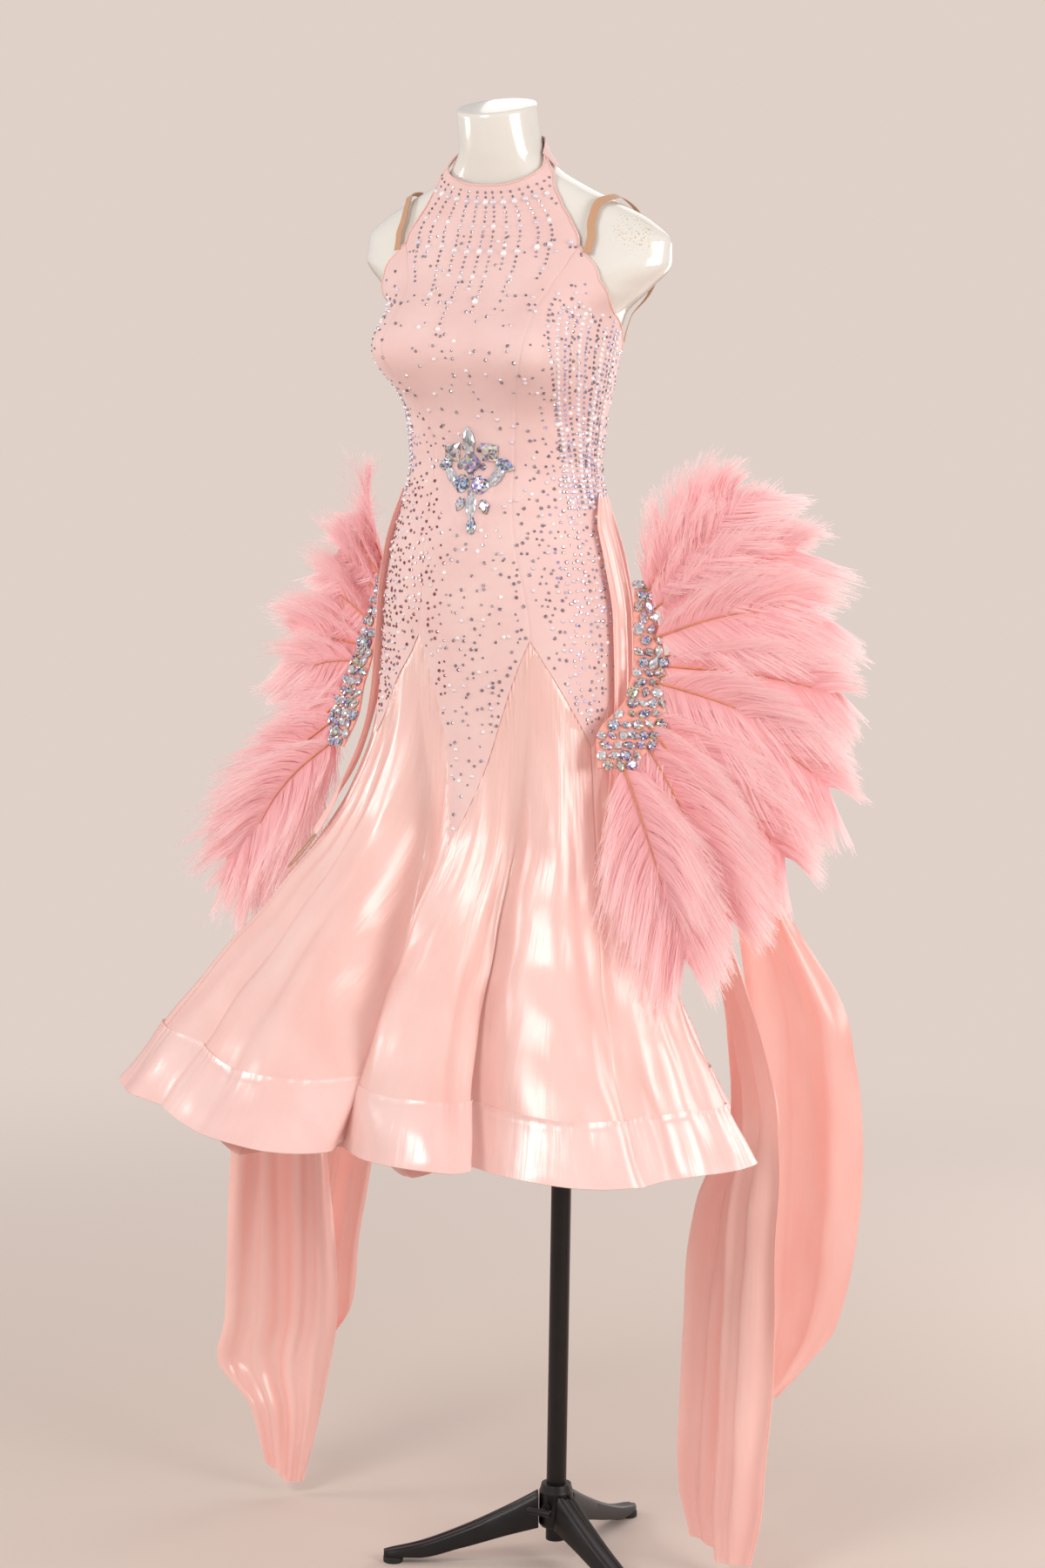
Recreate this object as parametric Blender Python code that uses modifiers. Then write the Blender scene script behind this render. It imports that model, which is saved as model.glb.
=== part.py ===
"""Ballroom dance dress on a legless dress form and tripod stand.

Metres, +Z up. The dress faces -Y and the wearer's left is +X. Everything is laid out round the
body axis (X = Y = 0) and at the end moved level, so that the whole object's box is centred there.
Angles round the body run from the centre front (0) to the wearer's left (90) and the back (180).
"""

import bisect
import math
from collections import namedtuple

import bmesh
import bpy
from mathutils import Vector

# ---------------------------------------------------------------- driving sizes
SKIRT_TOP = 1.200           # height where the fitted bodice lets go of the form
HEM_HEIGHT = 0.597          # mean height of the hem
HEM_TILT = 0.036            # the hem swings up on the wearer's right and down on the left
HEM_HIGH_SIDE = -70.0       # angle of its highest point
BAND_DEPTH = 0.069          # stiffened hem band
BAND_WALL = 0.0025
FORM_BOTTOM = 1.090
FORM_NECK_ROW = 1.800
WAIST, SHOULDER = 1.390, 1.640
FORM_WALL = 0.004
NECK_CUT_RISE = 0.012       # the neck is cut on a slant, higher at the back
CLOTH_EASE = 0.0040         # middle of the bodice cloth to the form
CLOTH_WALL = 0.0015
SEAM_GAP = 0.0009           # clear space between the cloth of two sewn pieces
BUST_REACH = 0.048
FORM_BUST_REACH = 0.044
BRIDGE_REACH = 0.012        # the cloth is taut between the cups, and stands off the form there
BRIDGE_SPREAD = 20.0
BUST_ANGLE = 33.0
BUST_SPREAD = 24.0
BUST_HEIGHT = 1.522
BUST_SPREAD_UP = 0.062
BUST_SPREAD_DOWN = 0.045

POLE = (0.055, 0.043)       # the stand's axis: the form is carried towards its back
POLE_RADIUS = 0.0125
POLE_BOTTOM = 0.030
BASE_PLATE = 0.012
PLATE_LOW = 1.096
PLATE_INSET = 0.0062        # from the form's outside
HUB_LOW, HUB_HIGH = 0.048, 0.104
HUB_RADIUS = 0.0215
RUN_GAP = 0.0004
LEG_ANGLES = {"back": 90.0, "right": 210.0, "left": 330.0}
LEG_REACH = 0.205
FOOT_RADIUS, FOOT_HEIGHT = 0.0125, 0.008
SCREW_HEIGHT = 0.078
SCREW_REACH = 0.046
SCREW_RADIUS = 0.0032
SCREW_CLEAR = 0.0008
COLLAR_RADIUS, COLLAR_LENGTH = 0.0054, 0.006
HANDLE_RADIUS, HANDLE_HALF = 0.0042, 0.016

# ---------------------------------------------------------------- tables
Section = namedtuple("Section", "height half_width front back centre_x centre_y roundness")
TORSO = (
    Section(1.070, 0.137, 0.098, 0.104, 0.000, -0.024, 2.0),
    Section(1.200, 0.149, 0.110, 0.111, 0.000, -0.028, 2.0),
    Section(1.280, 0.140, 0.104, 0.102, -0.002, -0.026, 2.0),
    Section(1.340, 0.126, 0.093, 0.090, -0.003, -0.023, 2.0),
    Section(1.390, 0.118, 0.084, 0.084, -0.003, -0.022, 2.0),
    Section(1.440, 0.122, 0.090, 0.087, -0.003, -0.022, 2.0),
    Section(1.490, 0.132, 0.104, 0.093, -0.004, -0.020, 2.0),
    Section(1.530, 0.139, 0.112, 0.097, -0.004, -0.018, 2.0),
    Section(1.570, 0.147, 0.104, 0.098, -0.003, -0.014, 2.0),
    Section(1.600, 0.177, 0.094, 0.094, -0.001, -0.010, 1.9),
    Section(1.632, 0.205, 0.084, 0.090, 0.000, -0.008, 1.8),
    Section(1.657, 0.204, 0.077, 0.085, 0.000, -0.006, 1.75),
    Section(1.680, 0.180, 0.070, 0.080, -0.001, -0.006, 1.75),
    Section(1.700, 0.142, 0.064, 0.074, -0.002, -0.010, 1.8),
    Section(1.720, 0.100, 0.058, 0.066, -0.003, -0.018, 1.9),
    Section(1.740, 0.068, 0.053, 0.058, -0.004, -0.030, 2.0),
    Section(1.762, 0.0515, 0.050, 0.052, -0.004, -0.042, 2.0),
    Section(1.800, 0.0480, 0.048, 0.048, -0.006, -0.052, 2.0),
    Section(1.830, 0.0465, 0.047, 0.047, -0.007, -0.056, 2.0),
)

SkirtRow = namedtuple("SkirtRow", "share half_width front back centre_x centre_y fold")
SKIRT = (
    SkirtRow(0.00, 0.149, 0.110, 0.111, 0.000, -0.028, 0.00),
    SkirtRow(0.20, 0.158, 0.114, 0.120, 0.001, -0.030, 0.08),
    SkirtRow(0.40, 0.190, 0.134, 0.152, -0.008, -0.038, 0.32),
    SkirtRow(0.60, 0.246, 0.200, 0.213, -0.028, -0.052, 0.66),
    SkirtRow(0.80, 0.316, 0.296, 0.292, -0.044, -0.063, 0.88),
    SkirtRow(1.00, 0.388, 0.386, 0.368, -0.050, -0.070, 1.00),
)
TWIST = 6.0                 # the dress has turned a little on the form below the waist
TWIST_TOP, TWIST_LOW = 1.360, 1.200

Fold = namedtuple("Fold", "top_angle hem_angle reach")
FOLDS = (
    Fold(-168.0, -166.0, 0.006),
    Fold(-150.0, -148.0, -0.086),
    Fold(-132.0, -130.0, 0.000),
    Fold(-114.0, -113.0, -0.084),
    Fold(-92.0, -90.0, 0.010),
    Fold(-76.0, -74.0, -0.026),
    Fold(-62.0, -54.0, 0.006),
    Fold(-48.0, -34.0, -0.020),
    Fold(-38.0, -9.0, 0.012),
    Fold(-27.0, 5.0, -0.130),
    Fold(0.0, 22.0, -0.034),
    Fold(27.0, 37.0, -0.112),
    Fold(42.0, 58.0, 0.004),
    Fold(62.0, 76.0, -0.022),
    Fold(88.0, 98.0, 0.006),
    Fold(112.0, 121.0, -0.094),
    Fold(133.0, 139.0, 0.004),
    Fold(152.0, 156.0, -0.088),
    Fold(172.0, 175.0, 0.006),
    Fold(183.0, 184.0, -0.030),
)

Corner = namedtuple("Corner", "angle height")
ZIGZAG = (                  # where the crepe ends and the satin begins, on one side
    Corner(0.0, 0.942),
    Corner(28.5, 1.190),
    Corner(60.0, 1.062),
    Corner(90.0, 1.180),
    Corner(124.0, 1.030),
    Corner(152.0, 1.186),
    Corner(180.0, 0.940),
)
POINT_BOW = 0.026           # the long front point is drawn in, so its sides bow up
Edge = namedtuple("Edge", "height angle")
PRINCESS = (                # princess seam, then the armhole above it
    Edge(1.190, 28.5),
    Edge(1.300, 25.5),
    Edge(1.390, 26.0),
    Edge(1.480, 27.4),
    Edge(1.530, 29.2),
    Edge(1.570, 31.0),
    Edge(1.605, 31.6),
    Edge(1.632, 33.8),
    Edge(1.650, 37.2),
    Edge(1.670, 36.6),
    Edge(1.690, 38.0),
    Edge(1.7066, 42.6),
    Edge(1.720, 50.0),
    Edge(1.735, 68.0),
    Edge(1.752, 84.0),
)
ARMHOLE = (                 # top edge of the side fronts and the backs
    Corner(37.2, 1.650),
    Corner(41.0, 1.635),
    Corner(49.5, 1.611),
    Corner(63.5, 1.590),
    Corner(82.0, 1.570),
    Corner(90.0, 1.560),
    Corner(112.0, 1.522),
    Corner(145.0, 1.458),
    Corner(180.0, 1.430),
)
NECKLINE = (
    Corner(0.0, 1.7205),
    Corner(14.5, 1.7215),
    Corner(28.5, 1.7265),
    Corner(45.0, 1.7325),
    Corner(60.0, 1.7390),
    Corner(84.0, 1.754),
)
BAND_TOP = (Corner(84.0, 1.756), Corner(118.0, 1.776), Corner(180.0, 1.781))
BAND_LOW = (Corner(84.0, 1.739), Corner(118.0, 1.748), Corner(180.0, 1.752))

Step = namedtuple("Step", "height angle")
ARM_STRAP = (
    Step(1.640, 40.3),
    Step(1.666, 42.5),
    Step(1.6865, 50.0),
    Step(1.700, 66.0),
    Step(1.704, 94.0),
    Step(1.690, 120.0),
    Step(1.668, 131.0),
    Step(1.636, 131.0),
    Step(1.602, 119.0),
    Step(1.570, 108.0),
    Step(1.540, 104.0),
)
STRAP_WIDTH = 0.010
STRAP_OUT = 0.0022
STRAP_WALL = 0.0011
BAND_ENDS = (84.6, 275.4)   # the halter band runs between these angles, round the back

Width = namedtuple("Width", "height half_width")
APPLIQUE = (                # the kite under the large stones, from its foot up
    Width(1.302, 0.006),
    Width(1.330, 0.019),
    Width(1.372, 0.030),
    Width(1.400, 0.035),
    Width(1.424, 0.014),
)
APPLIQUE_ANGLE = 1.5
APPLIQUE_OUT = 0.0070
APPLIQUE_WALL = 0.0028
WAIST_RADIUS = 0.105        # turns the applique's half width into an angle

DrapeRow = namedtuple("DrapeRow", "height front_angle back_angle front_out back_out pleat")
HIP_DRAPE = (
    DrapeRow(1.352, 82.0, 93.0, 0.007, 0.008, 0.002),
    DrapeRow(1.310, 75.0, 98.0, 0.008, 0.009, 0.003),
    DrapeRow(1.250, 74.0, 102.0, 0.008, 0.010, 0.003),
    DrapeRow(1.190, 74.0, 104.0, 0.008, 0.011, 0.003),
    DrapeRow(1.120, 73.0, 100.0, 0.009, 0.011, 0.003),
    DrapeRow(1.060, 69.0, 90.0, 0.010, 0.011, 0.003),
    DrapeRow(1.010, 66.0, 80.0, 0.010, 0.010, 0.002),
    DrapeRow(0.965, 61.0, 70.0, 0.010, 0.010, 0.002),
    DrapeRow(0.930, 60.0, 64.0, 0.010, 0.010, 0.001),
)

FanRow = namedtuple("FanRow", "share in_x in_y out_x out_y height lift reach turn")
FAN = (                     # crescent from top to bottom, and the feather that leaves it there
    FanRow(0.00, 0.1685, -0.012, 0.1810, -0.002, 1.2555, 66.0, 0.188, 32.0),
    FanRow(0.20, 0.1735, -0.024, 0.1960, -0.006, 1.2100, 40.0, 0.210, 31.0),
    FanRow(0.42, 0.1790, -0.032, 0.2105, -0.010, 1.1590, -3.0, 0.228, 30.0),
    FanRow(0.62, 0.1790, -0.052, 0.2180, -0.028, 1.1180, -29.0, 0.232, 29.0),
    FanRow(0.80, 0.1640, -0.094, 0.2250, -0.048, 1.0800, -52.0, 0.220, 22.0),
    FanRow(1.00, 0.1740, -0.112, 0.2050, -0.088, 1.0405, -67.0, 0.214, 11.0),
)
FeatherRow = namedtuple("FeatherRow", "share lift reach turn")
RIGHT_FEATHERS = (          # on the wearer's right the upper feathers are swept back
    FeatherRow(0.00, 42.0, 0.165, 50.0),
    FeatherRow(0.25, 26.0, 0.198, 45.0),
    FeatherRow(0.45, 0.0, 0.225, 34.0),
    FeatherRow(0.65, -22.0, 0.225, 42.0),
    FeatherRow(0.82, -38.0, 0.218, 27.0),
    FeatherRow(1.00, -40.0, 0.226, 6.0),
)
FAN_STEPS = 20
FAN_ROWS = 6
FAN_THICKNESS = 0.012
FAN_TIP_DROP = 0.030
FAN_WALL = 0.003
FEATHER_START = 0.004       # clear of the crescent
SCALLOP, SCALLOP_STEPS = 0.045, 2.5
CRESCENT_BULGE = 0.002

FloatRow = namedtuple("FloatRow", "height start_x start_y end_x end_y wave")
LEFT_FALL = (
    FloatRow(1.060, 0.196, 0.050, 0.176, 0.088, 0.003),
    FloatRow(0.960, 0.216, 0.056, 0.190, 0.118, 0.006),
    FloatRow(0.820, 0.256, 0.066, 0.198, 0.166, 0.009),
    FloatRow(0.680, 0.298, 0.076, 0.226, 0.184, 0.011),
    FloatRow(0.580, 0.318, 0.084, 0.236, 0.184, 0.012),
    FloatRow(0.460, 0.316, 0.086, 0.200, 0.158, 0.013),
    FloatRow(0.200, 0.320, 0.082, 0.190, 0.140, 0.011),
    FloatRow(0.090, 0.314, 0.080, 0.190, 0.134, 0.009),
    FloatRow(0.020, 0.304, 0.084, 0.212, 0.122, 0.005),
)
LEFT_SAIL = (
    FloatRow(1.040, 0.184, 0.104, 0.166, 0.130, 0.003),
    FloatRow(0.940, 0.206, 0.140, 0.202, 0.180, 0.006),
    FloatRow(0.820, 0.222, 0.186, 0.284, 0.216, 0.009),
    FloatRow(0.680, 0.232, 0.210, 0.362, 0.224, 0.011),
    FloatRow(0.520, 0.236, 0.212, 0.382, 0.224, 0.012),
    FloatRow(0.400, 0.240, 0.204, 0.378, 0.212, 0.011),
    FloatRow(0.310, 0.254, 0.190, 0.362, 0.196, 0.009),
    FloatRow(0.260, 0.268, 0.168, 0.332, 0.174, 0.006),
    FloatRow(0.224, 0.286, 0.148, 0.306, 0.154, 0.003),
)
RIGHT_FALL = (
    FloatRow(1.060, -0.198, 0.044, -0.180, 0.080, 0.003),
    FloatRow(0.960, -0.230, 0.046, -0.206, 0.110, 0.006),
    FloatRow(0.820, -0.304, 0.050, -0.262, 0.150, 0.009),
    FloatRow(0.680, -0.392, 0.056, -0.346, 0.172, 0.011),
    FloatRow(0.580, -0.438, 0.060, -0.378, 0.176, 0.012),
    FloatRow(0.440, -0.448, 0.062, -0.346, 0.150, 0.013),
    FloatRow(0.240, -0.454, 0.066, -0.322, 0.130, 0.011),
    FloatRow(0.188, -0.466, 0.068, -0.326, 0.124, 0.010),
    FloatRow(0.110, -0.420, 0.074, -0.338, 0.116, 0.008),
    FloatRow(0.018, -0.400, 0.080, -0.356, 0.106, 0.004),
)
RIGHT_SAIL = (
    FloatRow(1.040, -0.180, 0.096, -0.158, 0.124, 0.003),
    FloatRow(0.940, -0.212, 0.120, -0.180, 0.170, 0.006),
    FloatRow(0.820, -0.258, 0.172, -0.210, 0.232, 0.009),
    FloatRow(0.680, -0.340, 0.204, -0.274, 0.276, 0.012),
    FloatRow(0.580, -0.370, 0.212, -0.302, 0.280, 0.013),
    FloatRow(0.440, -0.386, 0.184, -0.330, 0.240, 0.014),
    FloatRow(0.300, -0.392, 0.170, -0.342, 0.222, 0.012),
    FloatRow(0.215, -0.390, 0.172, -0.346, 0.218, 0.009),
    FloatRow(0.168, -0.386, 0.174, -0.364, 0.198, 0.004),
)
FLOAT_COLUMNS = 9
FLOAT_ROWS = 13
FLOAT_WAVES, FLOAT_PHASE = 1.5, 0.6
LEFT_FALL_LIFT, LEFT_SAIL_LIFT = 0.020, -0.030      # one end of the hem hangs higher
RIGHT_FALL_LIFT, RIGHT_SAIL_LIFT = -0.030, 0.040

LegRow = namedtuple("LegRow", "reach low high half_width")
LEG = (
    LegRow(0.0225, 0.050, 0.092, 0.017),
    LegRow(0.0600, 0.040, 0.072, 0.016),
    LegRow(0.1200, 0.022, 0.044, 0.0145),
    LegRow(0.1750, 0.0086, 0.024, 0.013),
    LegRow(0.2170, 0.0086, 0.015, 0.011),
)

Finish = namedtuple("Finish", "colour roughness metallic")
FINISHES = {
    "crepe": Finish((0.86, 0.56, 0.52, 1.0), 0.75, 0.0),
    "satin": Finish((0.91, 0.55, 0.46, 1.0), 0.35, 0.0),
    "elastic": Finish((0.68, 0.40, 0.24, 1.0), 0.7, 0.0),
    "feather": Finish((0.82, 0.36, 0.42, 1.0), 0.9, 0.0),
    "fan_base": Finish((0.80, 0.34, 0.28, 1.0), 0.6, 0.0),
    "crystal": Finish((0.80, 0.80, 0.90, 1.0), 0.1, 0.0),
    "form": Finish((0.86, 0.85, 0.82, 1.0), 0.15, 0.0),
    "steel": Finish((0.012, 0.012, 0.013, 1.0), 0.4, 0.6),
    "rubber": Finish((0.02, 0.02, 0.02, 1.0), 0.8, 0.0),
}


# ---------------------------------------------------------------- curves through tables
def slope_at(rows, index, column):
    """Slope of a column at a row, flat at a peak or a dip, so that the curve never overshoots."""
    if index in (0, len(rows) - 1):
        near = min(index, len(rows) - 2)
        return (rows[near + 1][column] - rows[near][column]) / (rows[near + 1][0] - rows[near][0])
    before = (rows[index][column] - rows[index - 1][column]) / (rows[index][0] - rows[index - 1][0])
    after = (rows[index + 1][column] - rows[index][column]) / (rows[index + 1][0] - rows[index][0])
    if before * after <= 0:
        return 0.0
    return 2 * before * after / (before + after)


def between(rows, value):
    """The row at a value of the first column, on a smooth curve through the rows."""
    value = min(max(value, rows[0][0]), rows[-1][0])
    index = min(bisect.bisect_right([row[0] for row in rows], value), len(rows) - 1) - 1
    low, high = rows[index], rows[index + 1]
    span = high[0] - low[0]
    t = (value - low[0]) / span
    fields = [value]
    for column in range(1, len(low)):
        start, end = slope_at(rows, index, column) * span, slope_at(rows, index + 1, column) * span
        fields.append(
            low[column] * (1 + 2 * t) * (1 - t) ** 2
            + start * t * (1 - t) ** 2
            + high[column] * t * t * (3 - 2 * t)
            + end * t * t * (t - 1)
        )
    return type(low)(*fields)


def straight(rows, value):
    """The second column at a value of the first, on straight lines between the rows."""
    value = min(max(value, rows[0][0]), rows[-1][0])
    index = min(bisect.bisect_right([row[0] for row in rows], value), len(rows) - 1) - 1
    (start, low), (end, high) = rows[index], rows[index + 1]
    return low + (high - low) * (value - start) / (end - start)


def mix(start, end, share):
    return start + (end - start) * share


def turned(angle):
    """The same angle between -180 and 180."""
    return (angle + 180.0) % 360.0 - 180.0


# ---------------------------------------------------------------- the garment's surface
def ring(row, angle, roundness=2.0, reach=0.0):
    side, ahead = math.sin(math.radians(angle)), math.cos(math.radians(angle))
    power = 2.0 / roundness
    depth = row.front if ahead > 0 else row.back
    x = row.centre_x + (row.half_width + reach) * math.copysign(abs(side) ** power, side)
    y = row.centre_y - (depth + reach) * math.copysign(abs(ahead) ** power, ahead)
    return x, y


def form_point(height, angle, bust_reach=FORM_BUST_REACH):
    """A point of the dress form's outside."""
    row = between(TORSO, height)
    x, y = ring(row, angle, row.roundness)
    spread = BUST_SPREAD_UP if height > BUST_HEIGHT else BUST_SPREAD_DOWN
    level = math.exp(-(((height - BUST_HEIGHT) / spread) ** 2))
    for cup in (-BUST_ANGLE, BUST_ANGLE):
        reach = bust_reach * level * math.exp(-((turned(angle - cup) / BUST_SPREAD) ** 2))
        x += reach * math.sin(math.radians(cup))
        y -= reach * math.cos(math.radians(cup))
    return Vector((x, y, height))


def torso_point(height, angle):
    """A point of the cloth where it lies on the form."""
    point = form_point(height, angle, BUST_REACH)
    spread = BUST_SPREAD_UP if height > BUST_HEIGHT else BUST_SPREAD_DOWN
    level = math.exp(-(((height - BUST_HEIGHT) / spread) ** 2))
    point.y -= BRIDGE_REACH * level * math.exp(-((turned(angle) / BRIDGE_SPREAD) ** 2))
    return point


def hem_height(angle):
    return HEM_HEIGHT + HEM_TILT * math.cos(math.radians(angle - HEM_HIGH_SIDE))


def fold_reach(angle, share):
    """How far the folds carry the hem out or in at an angle, on the way from hip (0) to hem (1)."""
    rows = [Corner(mix(fold.top_angle, fold.hem_angle, share), fold.reach) for fold in FOLDS]
    rows = [Corner(rows[-1].angle - 360, rows[-1].height), *rows, Corner(rows[0].angle + 360, rows[0].height)]
    angle = turned(angle)
    if angle < rows[0].angle:
        angle += 360
    if angle > rows[-1].angle:
        angle -= 360
    return between(rows, angle).height


def skirt_point(height, angle, fold_share=1.0):
    share = (SKIRT_TOP - height) / (SKIRT_TOP - hem_height(angle))
    row = between(SKIRT, share)
    reach = fold_share * row.fold * fold_reach(angle, min(share, 1.0))
    x, y = ring(row, angle, 2.0, reach)
    return Vector((x, y, height))


def twist(height):
    share = min(max((TWIST_TOP - height) / (TWIST_TOP - TWIST_LOW), 0.0), 1.0)
    return TWIST * share * share * (3 - 2 * share)


def dress_middle(height, angle):
    """The cloth's resting surface before it is eased off the form."""
    angle += twist(height)
    return torso_point(height, angle) if height >= SKIRT_TOP else skirt_point(height, angle)


def moved_out(surface, height, angle, out):
    """A point of a surface moved out along its own normal."""
    step_height, step_angle = 0.004, 1.0
    here = surface(height, angle)
    up = surface(height + step_height, angle) - surface(height - step_height, angle)
    round_ = surface(height, angle + step_angle) - surface(height, angle - step_angle)
    return here + round_.cross(up).normalized() * out


def dress_point(height, angle, out=0.0):
    return moved_out(dress_middle, height, angle, CLOTH_EASE + out)


def zigzag(angle):
    """Height where the crepe ends; the sides of the long front point bow up."""
    away = abs(turned(angle))
    bow = math.sin(math.pi * min(away / ZIGZAG[1].angle, 1.0))
    return straight(ZIGZAG, away) + POINT_BOW * bow


# ---------------------------------------------------------------- making objects
def collection_named(name):
    made = bpy.data.collections.new(name)
    bpy.context.scene.collection.children.link(made)
    return made


def material(finish):
    """The material of a finish, made once."""
    found = bpy.data.materials.get(finish)
    if found:
        return found
    made = bpy.data.materials.new(finish)
    made.use_nodes = True
    shader = made.node_tree.nodes["Principled BSDF"]
    shader.inputs["Base Color"].default_value = FINISHES[finish].colour
    shader.inputs["Roughness"].default_value = FINISHES[finish].roughness
    shader.inputs["Metallic"].default_value = FINISHES[finish].metallic
    return made


def mesh_object(name, points, faces, finish):
    data = bpy.data.meshes.new(name)
    data.from_pydata([tuple(point) for point in points], [], faces)
    data.validate()
    data.materials.append(material(finish))
    data.shade_smooth()
    made = bpy.data.objects.new(name, data)
    PARTS.objects.link(made)
    return made


def grid_faces(rows, columns, closed=False):
    """Faces of a grid whose points run along each row in turn."""
    across = columns if closed else columns - 1
    return [
        (
            row * columns + column,
            row * columns + (column + 1) % columns,
            (row + 1) * columns + (column + 1) % columns,
            (row + 1) * columns + column,
        )
        for row in range(rows - 1)
        for column in range(across)
    ]


def cloth(name, grid, finish, wall=CLOTH_WALL, offset=0.0):
    """A cloth wall on a grid of points, a row of points for each list."""
    points = [point for row in grid for point in row]
    made = mesh_object(name, points, grid_faces(len(grid), len(grid[0])), finish)
    thick = made.modifiers.new("wall", "SOLIDIFY")
    thick.thickness = wall
    thick.offset = offset
    return made


def steps(count):
    return [index / (count - 1) for index in range(count)]


def patch(low, high, first, last):
    """A grid between four edges, each a list of corners: the low and high edge run from first to last."""
    rows, columns = len(first), len(low)
    grid = []
    for row, up in enumerate(steps(rows)):
        line = []
        for column, across in enumerate(steps(columns)):
            line.append(
                Corner(
                    *(
                        mix(low[column][field], high[column][field], up)
                        + mix(first[row][field], last[row][field], across)
                        - mix(
                            mix(first[0][field], last[0][field], across),
                            mix(first[-1][field], last[-1][field], across),
                            up,
                        )
                        for field in range(2)
                    )
                )
            )
        grid.append(line)
    return grid


def panel(name, low, high, first, last):
    """A sewn panel of crepe between four edges, kept half a seam gap inside its two sides."""
    grid = []
    for line in patch(low, high, first, last):
        toward = 1 if line[-1].angle > line[0].angle else -1
        made = []
        for column, corner in enumerate(line):
            angle = corner.angle
            if column in (0, len(line) - 1):
                inset = math.degrees(SEAM_GAP / 2 / seam_radius(corner))
                angle += toward * (inset if column == 0 else -inset)
            made.append(dress_point(corner.height, angle))
        grid.append(made)
    return cloth(name, grid, "crepe")


def seam_radius(corner):
    """Distance from the middle of the section, to turn a gap in the cloth into an angle."""
    point = dress_middle(corner.height, corner.angle)
    return max(0.04, math.hypot(point.x, point.y + 0.03))


# ---------------------------------------------------------------- bodice
SIDE_ROWS = 17
NECK_ROWS = 9
ARMHOLE_START = 1.650


def princess(height):
    return between(PRINCESS, height).angle


def mirrored(corners):
    return [Corner(-corner.angle, corner.height) for corner in corners]


def edge_along(curve, first, last, count):
    """Corners along an edge given as height against angle."""
    return [Corner(angle, curve(angle)) for angle in (mix(first, last, share) for share in steps(count))]


def crepe_end(angle):
    return zigzag(angle) + SEAM_GAP


def princess_edge(low, high, count):
    heights = [mix(low, high, share) for share in steps(count)]
    return [Corner(princess(height), height) for height in heights]


def armhole(angle):
    return straight(ARMHOLE, abs(angle))


def neck_height(angle):
    return straight(NECKLINE, abs(angle))


def side_edge(columns, points):
    """Corners on straight lines through a few points, a named number of columns for each line."""
    edge = [points[0]]
    for (start, end), count in zip(zip(points, points[1:]), columns):
        for share in steps(count + 1)[1:]:
            edge.append(Corner(mix(start.angle, end.angle, share), mix(start.height, end.height, share)))
    return edge


def make_bodice():
    low_point, peak, dip, side, back_dip, back_peak, back_low = (
        Corner(corner.angle, crepe_end(corner.angle)) for corner in ZIGZAG
    )
    seam = princess_edge(peak.height, ARMHOLE_START, SIDE_ROWS)
    front_edge = seam + princess_edge(ARMHOLE_START, NECKLINE[-1].height, NECK_ROWS)[1:]
    front_low = [
        Corner(corner.angle, crepe_end(corner.angle))
        for corner in side_edge((6, 6), [*mirrored([peak]), low_point, peak])
    ]
    neckline = edge_along(neck_height, -front_edge[-1].angle, front_edge[-1].angle, len(front_low))
    panel("bodice_front", front_low, neckline, mirrored(front_edge), front_edge)

    side_low = side_edge((4, 4), [peak, dip, side])
    side_top = edge_along(armhole, seam[-1].angle, side.angle, len(side_low))
    side_seam = [
        Corner(side.angle, mix(side.height, armhole(side.angle), share)) for share in steps(SIDE_ROWS)
    ]
    back_low_edge = side_edge((3, 3, 3), [side, back_dip, back_peak, back_low])
    back_top = edge_along(armhole, side.angle, 180.0, len(back_low_edge))
    centre_back = [Corner(180.0, mix(back_low.height, armhole(180.0), share)) for share in steps(SIDE_ROWS)]
    panel("bodice_side_left", side_low, side_top, seam, side_seam)
    panel("bodice_back_left", back_low_edge, back_top, side_seam, centre_back)
    panel("bodice_side_right", mirrored(side_low), mirrored(side_top), mirrored(seam), mirrored(side_seam))
    back = [mirrored(edge) for edge in (back_low_edge, back_top, side_seam, centre_back)]
    panel("bodice_back_right", *back)


def make_halter_band():
    """The band that closes the halter round the back of the neck."""
    grid = []
    for up in steps(3):
        line = []
        for share in steps(17):
            angle = mix(*BAND_ENDS, share)
            around = abs(turned(angle))
            height = mix(between(BAND_LOW, around).height, between(BAND_TOP, around).height, up)
            line.append(dress_point(height, angle))
        grid.append(line)
    cloth("halter_band", grid, "crepe")


def make_arm_straps():
    """Elastic straps from the armhole, over the shoulder and down behind the arm stump."""
    for side, sign in (("left", 1), ("right", -1)):
        route = [Edge(index, step.height) for index, step in enumerate(ARM_STRAP)]
        turn = [Edge(index, step.angle) for index, step in enumerate(ARM_STRAP)]
        path = []
        for share in steps(31):
            at = share * (len(ARM_STRAP) - 1)
            height, angle = between(route, at).angle, sign * between(turn, at).angle
            point = dress_point(height, angle, STRAP_OUT)
            path.append((point, point - dress_middle(height, angle)))
        grid = [[], []]
        for index, (point, outward) in enumerate(path):
            along = path[min(index + 1, len(path) - 1)][0] - path[max(index - 1, 0)][0]
            across = along.cross(outward).normalized() * STRAP_WIDTH / 2
            grid[0].append(point - across)
            grid[1].append(point + across)
        cloth(f"arm_strap_{side}", grid, "elastic", wall=STRAP_WALL)


def make_applique():
    """The backing of the large stones at the centre front, a kite lying on the bodice."""
    grid = []
    for up in steps(7):
        row = between(APPLIQUE, mix(APPLIQUE[0].height, APPLIQUE[-1].height, up))
        reach = math.degrees(row.half_width / WAIST_RADIUS)
        angles = [APPLIQUE_ANGLE + mix(-reach, reach, t) for t in steps(5)]
        grid.append([dress_point(row.height, angle, APPLIQUE_OUT) for angle in angles])
    cloth("centre_applique", grid, "crystal", wall=APPLIQUE_WALL)


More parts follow.
